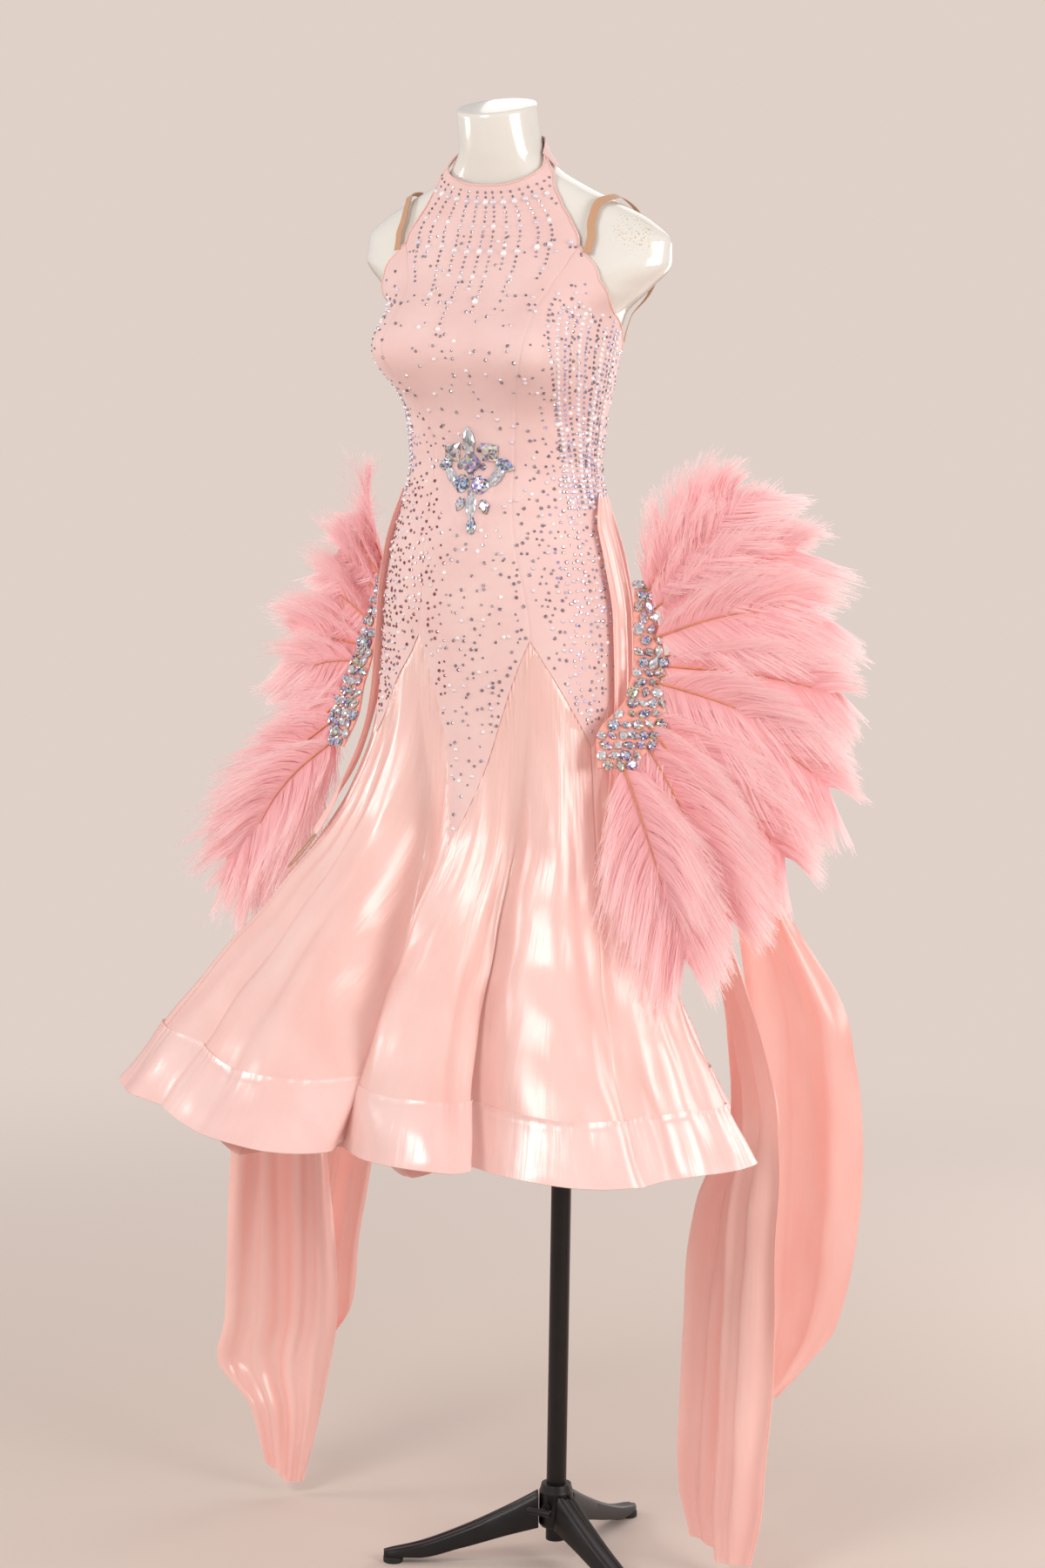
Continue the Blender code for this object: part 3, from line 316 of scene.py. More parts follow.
def make_mesh(
    name: str,
    points: Array,
    faces: Array | list[Array],
    material: Material,
    uv: Array | None = None,
    tint: Array | None = None,
    smooth: bool = True,
    crisp: float = 0.0,
) -> Object:
    """Makes an object from arrays.

    Args:
        name: the piece's name.
        points: its vertices.
        faces: its faces, as one array or as several of different widths.
        material: what it is made of.
        uv: a place on the cloth for each vertex.
        tint: a colour for each face.
        smooth: whether faces are shaded smooth.
        crisp: an angle in degrees past which an edge stays sharp.
    Returns:
        The object.
    """
    blocks = faces if isinstance(faces, list) else [faces]
    corners = np.concatenate([block.ravel() for block in blocks]).astype(np.int32)
    widths = np.concatenate([np.full(len(block), block.shape[1]) for block in blocks]).astype(np.int32)
    mesh = bpy.data.meshes.new(name)
    mesh.vertices.add(len(points))
    mesh.vertices.foreach_set("co", np.asarray(points, np.float32).ravel())
    mesh.loops.add(len(corners))
    mesh.loops.foreach_set("vertex_index", corners)
    mesh.polygons.add(len(widths))
    mesh.polygons.foreach_set("loop_start", np.concatenate([[0], np.cumsum(widths)[:-1]]).astype(np.int32))
    mesh.update(calc_edges=True)
    mesh.polygons.foreach_set("use_smooth", np.full(len(widths), smooth))
    if uv is not None:
        layer = mesh.uv_layers.new(name="cloth")
        layer.data.foreach_set("uv", np.asarray(uv, np.float32)[corners].ravel())
    if tint is not None:
        layer = mesh.color_attributes.new("tint", "FLOAT_COLOR", "CORNER")
        layer.data.foreach_set("color", np.repeat(np.asarray(tint, np.float32), widths, axis=0).ravel())
    if crisp:
        mesh.set_sharp_from_angle(angle=radians(crisp))
    mesh.materials.append(material)
    made = bpy.data.objects.new(name, mesh)
    bpy.context.scene.collection.objects.link(made)
    return made


def lengths(grid: Array) -> Array:
    """Returns each grid point's place on the cloth in metres, across and along."""
    across = np.linalg.norm(np.diff(grid, axis=1), axis=-1).mean(0)
    along = np.linalg.norm(np.diff(grid, axis=0), axis=-1).mean(1)
    u = np.concatenate([[0], np.cumsum(across)])
    v = np.concatenate([[0], np.cumsum(along)])
    return np.stack(np.meshgrid(u, v), -1)


def normals_of(grid: Array) -> Array:
    """Returns the normals of a grid's points, out of the side where rows climb and columns run right."""
    return unit(np.cross(np.gradient(grid, axis=1), np.gradient(grid, axis=0)))


def shell(name: str, grid: Array, material: Material, wall: float = 0.001, facing: int = 1) -> Object:
    """Makes a thin cloth wall on a grid of points.

    Args:
        name: the piece's name.
        grid: rows by columns of points, at the middle of the cloth.
        material: what it is made of.
        wall: its thickness.
        facing: -1 where the grid's columns run the other way round.
    Returns:
        The object.
    """
    rows, columns = grid.shape[:2]
    half = normals_of(grid) * wall / 2 * facing
    outer = grid_quads(rows, columns)
    count = rows * columns
    edge = np.concatenate([
        np.arange(columns), np.arange(1, rows) * columns + columns - 1,
        np.arange(columns - 2, -1, -1) + (rows - 1) * columns, np.arange(rows - 2, 0, -1) * columns,
    ])
    after = np.roll(edge, -1)
    rim = np.stack([edge, edge + count, after + count, after], -1)
    faces = np.concatenate([outer, outer[:, ::-1] + count, rim])
    if facing < 0:
        faces = faces[:, ::-1]
    points = np.concatenate([(grid + half).reshape(-1, 3), (grid - half).reshape(-1, 3)])
    uv = np.tile(lengths(grid).reshape(-1, 2), (2, 1))
    return make_mesh(name, points, faces, material, uv=uv, crisp=60.0)


def tube(path: Array, radius: Array | float, sides: int = 8) -> tuple[Array, list[Array]]:
    """Returns the points and faces of a closed tube along a path."""
    along = unit(np.gradient(path, axis=0))
    guide = np.array(UP) if abs(along[0][2]) < 0.9 else np.array([1.0, 0.0, 0.0])
    side = [unit(np.cross(along[0], guide))]
    for step in along[1:]:
        side.append(unit(side[-1] - step * np.dot(side[-1], step)))
    side = np.array(side)
    other = np.cross(along, side)
    turn = np.linspace(0, 2 * pi, sides, endpoint=False)
    radius = np.broadcast_to(np.asarray(radius, float), (len(path),))[:, None, None]
    points = path[:, None] + radius * (
        side[:, None] * np.cos(turn)[:, None] + other[:, None] * np.sin(turn)[:, None]
    )
    caps = np.array([[0, k, k + 1] for k in range(1, sides - 1)])
    last = (len(path) - 1) * sides
    quads = grid_quads(len(path), sides, closed=True)
    return points.reshape(-1, 3), [quads[:, ::-1], caps, caps[:, ::-1] + last]


def together(parts: Sequence[tuple[Array, list[Array]]]) -> tuple[Array, list[Array]]:
    """Returns several bodies' points and faces as one."""
    points, faces, base = [], [], 0
    for body, blocks in parts:
        points.append(body)
        faces += [block + base for block in blocks]
        base += len(body)
    widths = sorted({block.shape[1] for block in faces})
    return np.concatenate(points), [
        np.concatenate([b for b in faces if b.shape[1] == width]) for width in widths
    ]


def scattered(
    shape: tuple[Array, Array], places: Array, outward: Array, along: Array, sizes: Array
) -> tuple[Array, Array]:
    """Copies one small shape to many places.

    Args:
        shape: its points, about its base, and its triangles.
        places: where the copies sit.
        outward: the way each one's top looks.
        along: the way each one's length runs.
        sizes: half of each one's length, half of its width, and its height.
    Returns:
        The points and triangles of them all.
    """
    base, faces = shape
    outward = unit(outward)
    along = unit(along - outward * np.sum(along * outward, -1, keepdims=True))
    frames = np.stack([along, np.cross(outward, along), outward], 1)
    points = np.einsum("pk,nkx->npx", base, frames * sizes[:, :, None]) + places[:, None]
    offsets = np.arange(len(places))[:, None, None] * len(base)
    return points.reshape(-1, 3), (faces[None] + offsets).reshape(-1, faces.shape[1])


# ---------- finishes
class Graph:
    """A material's node tree, with short calls for its nodes and links."""

    def __init__(self, name: str) -> None:
        """Args: name: the material's name."""
        self.material = bpy.data.materials.new(name)
        self.material.use_nodes = True
        self.tree = self.material.node_tree
        self.shader = self.tree.nodes["Principled BSDF"]

    def node(self, kind: str, **settings: object) -> bpy.types.Node:
        """Adds a node; settings name its properties, or its inputs with spaces written as underscores."""
        made = self.tree.nodes.new(kind)
        for key, value in settings.items():
            if hasattr(made, key):
                setattr(made, key, value)
            else:
                self.put(made.inputs[key.replace("_", " ")], value)
        return made

    def put(self, socket: Socket, value: object) -> None:
        """Links a socket to another, or sets its value."""
        if isinstance(value, Socket):
            self.tree.links.new(value, socket)
        else:
            socket.default_value = value

    def surface(self, **values: object) -> None:
        """Sets or links the shader's own sockets."""
        for key, value in values.items():
            self.put(self.shader.inputs[key.replace("_", " ")], value)

    def place(self, scale: tuple[float, float, float], cloth: bool = False) -> Socket:
        """Returns scaled coordinates: the object's own, or the cloth's."""
        if cloth:
            source = self.node("ShaderNodeUVMap", uv_map="cloth").outputs["UV"]
        else:
            source = self.node("ShaderNodeTexCoord").outputs["Object"]
        return self.node("ShaderNodeMapping", Vector=source, Scale=scale).outputs["Vector"]

    def noise(self, where: Socket, scale: float, detail: float = 2.0) -> Socket:
        """Returns a noise pattern from 0 to 1."""
        return self.node("ShaderNodeTexNoise", Vector=where, Scale=scale, Detail=detail).outputs["Fac"]

    def ramp(self, value: Socket, *stops: tuple[float, Colour]) -> Socket:
        """Returns colours along a value."""
        made = self.node("ShaderNodeValToRGB", Fac=value)
        band = made.color_ramp.elements
        while len(band) < len(stops):
            band.new(0.5)
        for element, (at, colour) in zip(band, stops):
            element.position, element.color = at, (*colour, 1.0)
        return made.outputs["Color"]

    def blend(self, share: object, low: object, high: object, mode: str = "MIX") -> Socket:
        """Returns a mix of two colours."""
        made = self.node("ShaderNodeMix", data_type="RGBA", blend_type=mode)
        self.put(made.inputs[0], share)
        for socket, value in ((made.inputs[6], low), (made.inputs[7], high)):
            self.put(socket, (*value, 1.0) if isinstance(value, tuple) else value)
        return made.outputs[2]

    def sum(self, operation: str, *values: object) -> Socket:
        """Returns the outcome of a Math node on values or sockets."""
        made = self.node("ShaderNodeMath", operation=operation)
        for socket, value in zip(made.inputs, values):
            self.put(socket, value)
        return made.outputs[0]

    def join(self, share: object, second: bpy.types.Node) -> None:
        """Mixes a share of a second shader into the surface."""
        both = self.node("ShaderNodeMixShader", Fac=share)
        self.put(both.inputs[1], self.shader.outputs[0])
        self.put(both.inputs[2], second.outputs[0])
        self.put(self.tree.nodes["Material Output"].inputs["Surface"], both.outputs[0])

    def glow(self, colour: Socket, share: float) -> None:
        """Lets a share of the light through, as thin cloth and down do."""
        self.join(share, self.node("ShaderNodeBsdfTranslucent", Color=colour))

    def bump(self, height: Socket, strength: float, depth: float, under: Socket | None = None) -> Socket:
        """Returns normals that follow a height pattern, on top of others if there are any."""
        made = self.node("ShaderNodeBump", Height=height, Strength=strength, Distance=depth)
        if under:
            self.put(made.inputs["Normal"], under)
        return made.outputs["Normal"]


@dataclass(frozen=True)
class Satin:
    """Charmeuse: long soft highlights, warm shadows, threads that run down the cloth. The warm shadows are
    partly painted: a deeper coral colour at grazing angles and a faint glow of its own.
    """

    name: str = "satin"
    light: Colour = (0.94, 0.69, 0.64)
    deep: Colour = (0.92, 0.6, 0.55)
    # edge: painted shade, the deeper coral that the satin turns to at grazing angles, standing for the shade in
    # its folds
    edge: Colour = (0.9, 0.48, 0.42)
    roughness: float = 0.28
    alpha: float = 1.0
    glow: float = 0.16
    # painted fill light: how strongly the satin glows in its own deeper colour, lifting its shadows
    painted_glow: float = 0.06

    def make(self) -> Material:
        """Returns the material."""
        graph = Graph(self.name)
        facing = graph.node("ShaderNodeLayerWeight", Blend=0.35).outputs["Facing"]
        cloud = graph.noise(graph.place((1, 1, 0.35)), 11.0, 3.0)
        base = graph.ramp(cloud, (0.35, self.deep), (0.65, self.light))
        # painted shade: the colour runs to the edge colour at grazing angles
        base = graph.blend(graph.sum("POWER", facing, 2.5), base, self.edge)
        threads = graph.noise(graph.place((1500.0, 46.0, 1.0), cloth=True), 1.0, 2.0)
        slub = graph.noise(graph.place((70.0, 600.0, 1.0), cloth=True), 1.0, 1.0)
        streak = graph.noise(graph.place((130.0, 7.0, 1.0), cloth=True), 1.0, 3.0)
        crumple = graph.noise(graph.place((16.0, 9.0, 1.0), cloth=True), 1.0, 2.0)
        soft = graph.bump(streak, 0.42, 0.0018)
        soft = graph.bump(crumple, 0.4, 0.01, soft)
        weave = graph.sum("MULTIPLY_ADD", slub, 0.5, threads)
        graph.surface(
            Base_Color=base, Roughness=self.roughness, Metallic=0.06, Specular_IOR_Level=0.7, Anisotropic=0.65,
            Sheen_Weight=0.16, Sheen_Roughness=0.35, Coat_Weight=0.18, Coat_Roughness=0.24, Alpha=self.alpha,
            # Emission: painted fill light, a faint glow in the deeper colour
            Emission_Color=(*self.deep, 1.0), Emission_Strength=self.painted_glow,
            Normal=graph.bump(weave, 0.1, 0.0004, soft),
            Tangent=graph.node("ShaderNodeTangent", direction_type="UV_MAP", uv_map="cloth").outputs["Tangent"],
        )
        graph.glow(base, self.glow)
        return graph.material


@dataclass(frozen=True)
class Crepe:
    """Matte stretch crepe with a pebbled face."""

    name: str = "crepe"
    light: Colour = (0.82, 0.59, 0.565)
    deep: Colour = (0.79, 0.54, 0.515)

    def make(self) -> Material:
        """Returns the material."""
        graph = Graph(self.name)
        where = graph.place((1, 1, 1))
        base = graph.ramp(graph.noise(where, 14.0, 3.0), (0.35, self.deep), (0.65, self.light))
        pebble = graph.noise(graph.place((1300.0, 760.0, 1.0), cloth=True), 1.0, 2.0)
        graph.surface(
            Base_Color=base, Roughness=0.72, Sheen_Weight=0.35, Sheen_Roughness=0.45, Specular_IOR_Level=0.25,
            Normal=graph.bump(pebble, 0.35, 0.0004),
        )
        return graph.material


@dataclass(frozen=True)
class Elastic:
    """Skin-toned ribbed elastic."""

    name: str = "elastic"
    colour: Colour = (0.62, 0.35, 0.2)

    def make(self) -> Material:
        """Returns the material."""
        graph = Graph(self.name)
        ribs = graph.node(
            "ShaderNodeTexWave", Vector=graph.place((1, 1, 1), cloth=True), Scale=320.0, bands_direction="X"
        ).outputs["Fac"]
        # painted shade: the colour darkens in the grooves between the ribs
        painted_groove_shade = tuple(0.82 * part for part in self.colour)
        graph.surface(
            Base_Color=graph.blend(ribs, painted_groove_shade, self.colour), Roughness=0.62, Sheen_Weight=0.2,
            Normal=graph.bump(ribs, 0.4, 0.0004),
        )
        return graph.material


@dataclass(frozen=True)
class Plume:
    """Dyed ostrich: coral at the quill, paler at the tips."""

    name: str = "plume"
    root: Colour = (0.96, 0.55, 0.56)
    middle: Colour = (0.99, 0.72, 0.74)
    tip: Colour = (0.99, 0.84, 0.84)

    def make(self) -> Material:
        """Returns the material."""
        graph = Graph(self.name)
        uv = graph.node("ShaderNodeUVMap", uv_map="cloth").outputs["UV"]
        along = graph.node("ShaderNodeSeparateXYZ", Vector=uv)
        base = graph.ramp(along.outputs["X"], (0.0, self.root), (0.35, self.middle), (1.0, self.tip))
        shade = graph.ramp(along.outputs["Y"], (0.0, (0.95, 0.88, 0.88)), (1.0, (1.0, 1.0, 1.0)))
        base = graph.blend(1.0, base, shade, "MULTIPLY")
        graph.surface(
            Base_Color=base, Roughness=0.62, Sheen_Weight=0.6, Sheen_Roughness=0.4,
            # Emission colour and strength: painted light, a faint glow in the plume's own colour standing for
            # light scattered through the down
            Sheen_Tint=(1.0, 0.84, 0.85, 1.0), Specular_IOR_Level=0.3, Emission_Color=base,
            Emission_Strength=0.1,
        )
        graph.glow(base, 0.55)
        return graph.material


@dataclass(frozen=True)
class Plain:
    """A finish of one colour with a fine mottling and grain."""

    name: str
    colour: Colour
    roughness: float
    metallic: float = 0.0
    coat: float = 0.0
    specular: float = 0.5
    mottle: float = 0.06
    scale: float = 40.0
    depth: float = 0.0002

    def make(self) -> Material:
        """Returns the material."""
        graph = Graph(self.name)
        pattern = graph.noise(graph.place((1, 1, 1)), self.scale, 4.0)
        low = tuple(part * (1 - self.mottle) for part in self.colour)
        high = tuple(min(1.0, part * (1 + self.mottle)) for part in self.colour)
        graph.surface(
            Base_Color=graph.ramp(pattern, (0.3, low), (0.7, high)), Roughness=self.roughness,
            Metallic=self.metallic, Coat_Weight=self.coat, Coat_Roughness=0.08,
            Specular_IOR_Level=self.specular,
            Normal=graph.bump(pattern, 0.12, self.depth),
        )
        return graph.material


@dataclass(frozen=True)
class GlossForm:
    """White lacquered fibreglass, worn to gold at the arm stump."""

    name: str = "form_gloss"
    white: Colour = (0.78, 0.76, 0.71)
    worn: Colour = (0.52, 0.36, 0.16)

    def make(self) -> Material:
        """Returns the material."""
        graph = Graph(self.name)
        where = graph.place((1, 1, 1))
        spot = Vector((0.176, -0.035, 1.672)) + Vector(SHIFT)
        distance = graph.node("ShaderNodeVectorMath", operation="DISTANCE")
        graph.put(distance.inputs[0], where)
        distance.inputs[1].default_value = spot
        near = graph.node("ShaderNodeMapRange", Value=distance.outputs["Value"])
        for index, value in enumerate((0.012, 0.04, 1.0, 0.0), 1):
            near.inputs[index].default_value = value
        flakes = graph.ramp(graph.noise(where, 420.0, 3.0), (0.6, (0, 0, 0)), (0.64, (1, 1, 1)))
        amount = graph.sum("MULTIPLY", near.outputs["Result"], flakes)
        cloud = graph.ramp(graph.noise(where, 9.0, 3.0), (0.3, (0.76, 0.735, 0.68)), (0.7, self.white))
        graph.surface(
            Base_Color=graph.blend(amount, cloud, self.worn), Roughness=0.17, Coat_Weight=0.7,
            Coat_Roughness=0.06, Normal=graph.bump(graph.noise(where, 30.0, 2.0), 0.05, 0.0008),
        )
        return graph.material


@dataclass(frozen=True)
class Stone:
    """Cut glass or pearl, whose facets each carry their own tint; the tints also paint the facets' reflections,
    glints and dark flashes.
    """

    name: str
    roughness: float
    metallic: float
    coat: float = 0.0

    def make(self) -> Material:
        """Returns the material."""
        graph = Graph(self.name)
        tint = graph.node("ShaderNodeVertexColor", layer_name="tint").outputs["Color"]
        graph.surface(
            Base_Color=tint, Roughness=self.roughness, Metallic=self.metallic, Coat_Weight=self.coat,
            Coat_Roughness=0.04, Specular_IOR_Level=0.8,
        )
        return graph.material


@dataclass(frozen=True)
class FadingFloor:
    """A pale floor that fades into the surrounding light further out."""

    name: str = "floor_paint"
    near: Colour = (0.6, 0.52, 0.465)
    far: Colour = (0.74, 0.635, 0.58)

    def make(self) -> Material:
        """Returns the material."""
        graph = Graph(self.name)
        graph.surface(Base_Color=(*self.near, 1.0), Roughness=0.8)
        where = graph.place((1, 1, 0))
        distance = graph.node("ShaderNodeVectorMath", operation="LENGTH", Vector=where)
        share = graph.node(
            "ShaderNodeMapRange", interpolation_type="SMOOTHSTEP", Value=distance.outputs["Value"]
        )
        share.inputs[1].default_value, share.inputs[2].default_value = 0.6, 3.2
        seen = graph.sum(
            "MULTIPLY", share.outputs["Result"], graph.node("ShaderNodeLightPath").outputs["Is Camera Ray"]
        )
        graph.join(seen, graph.node("ShaderNodeEmission", Color=(*self.far, 1.0)))
        return graph.material


class Wardrobe:
    """Every finish of the object, made once."""

    def __init__(self) -> None:
        """Makes the materials."""
        self.satin = Satin().make()
        pale, pale_deep, lacquer = (0.94, 0.72, 0.68), (0.93, 0.63, 0.59), (0.006, 0.005, 0.005)
        # painted sheen: the hem band is the same satin, given paler colours to stand for the brighter sheen of
        # its cloth
        self.band = Satin("satin_band", light=pale, deep=pale_deep, roughness=0.25).make()
        # painted fill light: the floats and drapes glow of their own more strongly than the skirt, which lifts
        # them out of their shade
        self.sheer = Satin("satin_sheer", roughness=0.25, alpha=0.88, glow=0.45, painted_glow=0.17).make()
        self.fall = Satin("satin_fall", roughness=0.22, glow=0.28, painted_glow=0.13).make()
        self.crepe = Crepe().make()
        self.elastic = Elastic().make()
        self.plume = Plume().make()
        self.quill = Plain("quill", (0.66, 0.28, 0.13), 0.45, mottle=0.2, scale=120.0).make()
        self.thread = Plain("thread", (0.84, 0.54, 0.49), 0.7).make()
        self.backing = Plain("coral_backing", (0.82, 0.36, 0.29), 0.6, mottle=0.15, scale=200.0).make()
        self.form = GlossForm().make()
        shine = dict(coat=0.05, specular=0.35, mottle=0.25, scale=60.0)
        self.black = Plain("black_lacquer", lacquer, 0.4, **shine).make()
        self.sole = Plain("black_rubber", (0.014, 0.014, 0.014), 0.8, mottle=0.2, scale=300.0).make()
        self.crystal = Stone("crystal", 0.08, 0.6, 0.35).make()
        self.pearl = Stone("pearl", 0.25, 0.05, 0.7).make()


def dressed(piece: Object, slot: str, *nodes: str, body: str = BODY) -> Object:
    """Puts a finished piece on its body.

    Args:
        piece: the piece.
        slot: the material slot that its finish belongs to; not used.
        nodes: the frame's nodes that it stands for.
        body: the body it moves with.
    Returns:
        The piece.
    """
    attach(piece, body)
    if nodes:
        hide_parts(*nodes)
    LOG.info("%s: %d faces", piece.name, len(piece.data.polygons))
    return piece


# ---------- bodice
Corners = Array


def coons(low: Corners, high: Corners, first: Corners, last: Corners) -> Corners:
    """Fills the patch between four edges, each a list of angle and height.

    Args:
        low: the lower edge, from the first side to the last.
        high: the upper edge, the same way.
        first: the first side, from low to high.
        last: the last side, the same way.
    Returns:
        Rows by columns of angle and height.
    """
    up = np.linspace(0, 1, len(first))[:, None, None]
    across = np.linspace(0, 1, len(low))[None, :, None]
    rule = low[None] * (1 - up) + high[None] * up + first[:, None] * (1 - across) + last[:, None] * across
    foot = first[0] * (1 - across) + last[0] * across
    head = first[-1] * (1 - across) + last[-1] * across
    return rule - foot * (1 - up) - head * up


@dataclass
class Bodice:
    """The fitted halter in matte crepe, with its band, bindings and straps."""

    wardrobe: Wardrobe
    arm_start: float = 1.65
    side_rows: int = 96
    neck_rows: int = 24
    overlap: float = 0.0016
    seam_top: float = 1.7535
    valley: float = 28.5
    princess: Table = Table((   # height, angle
        (1.19, 28.5), (1.3, 25.5), (1.39, 26.0), (1.48, 27.4), (1.53, 29.2), (1.57, 31.0), (1.605, 31.6),
        (1.632, 33.8), (1.65, 37.2), (1.67, 36.6), (1.69, 38.0), (1.7066, 42.6), (1.72, 50.0), (1.735, 68.0),
        (1.752, 84.0),
    ))
    armhole: tuple[tuple[float, float], ...] = (   # angle, height
        (37.2, 1.65), (41.0, 1.635), (49.5, 1.611), (63.5, 1.59), (82.0, 1.57), (90.0, 1.56), (112.0, 1.522),
        (145.0, 1.458), (180.0, 1.43),
    )
    neckline: tuple[tuple[float, float], ...] = (   # angle, height
        (0.0, 1.7205), (14.5, 1.7215), (28.5, 1.7265), (45.0, 1.7325), (60.0, 1.739), (84.0, 1.754),
    )
    band_top: Table = Table(((84.0, 1.756), (118.0, 1.776), (180.0, 1.781)))
    band_low: Table = Table(((84.0, 1.739), (118.0, 1.748), (180.0, 1.752)))
    strap: tuple[tuple[float, float], ...] = (   # height, angle
        (1.64, 40.3), (1.666, 42.5), (1.6865, 50.0), (1.7, 66.0), (1.704, 94.0), (1.69, 120.0),
        (1.668, 131.0), (1.636, 131.0), (1.602, 119.0), (1.57, 108.0), (1.54, 104.0),
    )

    def low_edge(self, first: float, last: float, columns: int) -> Corners:
        """Returns the crepe's lower edge, which laps over the satin."""
        inside = {a * s for a, _ in GARMENT.corners for s in (1, -1) if first < a * s < last}
        knots = sorted({first, last} | inside)
        angles = np.concatenate([
            np.linspace(a, b, max(2, round(columns * (b - a) / (last - first))), endpoint=False)
            for a, b in zip(knots, knots[1:])
        ] + [[last]])
        return np.stack([angles, GARMENT.zigzag(angles) - self.overlap], -1)

    def side_line(self, heights: Array, angle: float | None = None, sign: int = 1) -> Corners:
        """Returns a seam as corners: the princess seam, or one at a set angle."""
        angles = self.princess(heights)[..., 0] if angle is None else np.full(len(heights), angle)
        return np.stack([angles * sign, heights], -1)

    def lie(self, corners: Corners, seams: tuple[bool, bool] = (True, True)) -> Array:
        """Lays a patch on the form: it dips into its seams."""
        angle, height = corners[..., 0], corners[..., 1]
        places = GARMENT.dress(height, angle)
        across = np.concatenate(
            [np.zeros((len(places), 1)), np.cumsum(np.linalg.norm(np.diff(places, axis=1), axis=-1), 1)], 1
        )
        dip = np.zeros(height.shape)
        for use, distance in zip(seams, (across, across[:, -1:] - across)):
            if use:
                dip += 0.0007 * bell(distance, 0.003)
        pull = 0.0006 * np.sin(height * 160.0 + angle * 0.09) * bell(height - 1.4, 0.045)
        pull *= bell(np.abs(turned(angle)) - 62.0, 26.0)
        return GARMENT.dress(height, angle, -dip + pull + 0.0004)

    def panel(self, name: str, low: Corners, high: Corners, first: Corners, last: Corners, facing: int) -> None:
        """Makes one sewn panel."""
        trim = coons(low, high, first, last)
        width = GARMENT.radius(trim[:, [0, -1], 1], trim[:, [0, -1], 0])
        inset = np.degrees(0.0001 / width) * np.sign(trim[:, -1:, 0] - trim[:, :1, 0])
        trim[:, 0, 0] += inset[:, 0]
        trim[:, -1, 0] -= inset[:, 1]
        piece = shell(f"crepe_{name}", self.lie(trim), self.wardrobe.crepe, CLOTH, facing)
        dressed(piece, "crepe", name)

    def build(self) -> None:
        """Makes every piece of the bodice."""
        seam_heights = np.linspace(1.19 - self.overlap, self.arm_start, self.side_rows)
        neck_heights = np.linspace(self.arm_start, self.seam_top, self.neck_rows)[1:]
        front_side = self.side_line(np.concatenate([seam_heights, neck_heights]))
        mirror = np.array([-1.0, 1.0])
        low = self.low_edge(-self.valley, self.valley, 64)
        reach = front_side[-1, 0]
        angles = np.linspace(-reach, reach, len(low))
        high = np.stack([angles, straight(self.neckline, np.abs(angles))], -1)
        self.panel("bodice_front", low, high, front_side * mirror, front_side, 1)
        for side, sign in SIDES:
            flip = np.array([sign, 1.0])
            seam = self.side_line(seam_heights)
            low = self.low_edge(self.valley, 90.0, 48)
            angles = np.linspace(seam[-1, 0], 90.0, len(low))
            high = np.stack([angles, straight(self.armhole, angles)], -1)
            side_seam = self.side_line(np.linspace(1.18 - self.overlap, high[-1, 1], self.side_rows), 90.0)
            self.panel(f"bodice_side_{side}", low * flip, high * flip, seam * flip, side_seam * flip, sign)
            low = self.low_edge(90.0, 180.0, 56)
            angles = np.linspace(90.0, 180.0, len(low))
            high = np.stack([angles, straight(self.armhole, angles)], -1)
            centre = self.side_line(np.linspace(low[-1, 1], high[-1, 1], self.side_rows), 180.0)
            self.panel(f"bodice_back_{side}", low * flip, high * flip, side_seam * flip, centre * flip, sign)
        self.band()
        self.bindings()
        self.straps()

    def band(self) -> None:
        """Makes the band that closes the halter round the neck."""
        angle = np.linspace(84.6, 275.4, 90)
        around = np.abs(turned(angle))
        low, high = self.band_low(around)[..., 0], self.band_top(around)[..., 0]
        up = np.linspace(0, 1, 9)[:, None]
        grid = GARMENT.dress(low + (high - low) * up, angle[None], 0.0006 * np.sin(up * pi))
        piece = shell("crepe_halter_band", grid, self.wardrobe.crepe, 0.0012)
        dressed(piece, "crepe", "halter_band")

    def bindings(self) -> None:
        """Makes the narrow rolled bindings of the neckline and armholes."""
        heights = np.linspace(self.arm_start, self.seam_top, 60)
        slim = self.side_line(heights)
        angles = np.linspace(-84, 84, 110)
        edges = [np.stack([angles, straight(self.neckline, np.abs(angles))], -1)]
        for sign in (1, -1):
            edges.append(slim * [sign, 1])
            around = np.linspace(37.2, 180.0, 110)
            edges.append(np.stack([around * sign, straight(self.armhole, around)], -1))
        parts = [tube(GARMENT.dress(edge[:, 1], edge[:, 0], 0.0008), 0.0011, 8) for edge in edges]
        points, faces = together(parts)
        dressed(make_mesh("edge_bindings", points, faces, self.wardrobe.thread), "crepe")

    def straps(self) -> None:
        """Makes the elastic straps over the shoulders."""
        rows = np.array(self.strap)
        route = Table(np.column_stack([np.arange(len(rows)), rows]))
        at = np.linspace(0, len(rows) - 1, 110)
        height, angle = route(at).T
        for side, sign in SIDES:
            path = GARMENT.dress(height, angle * sign, 0.0022)
            outward = GARMENT.normal(height, angle * sign)
            across = unit(np.cross(np.gradient(path, axis=0), outward)) * 0.0048
            grid = np.stack([path + across * t for t in np.linspace(1, -1, 7)], 1)
            piece = shell(f"elastic_strap_{side}", grid, self.wardrobe.elastic, CLOTH, 1)
            dressed(piece, "elastic", f"arm_strap_{side}")


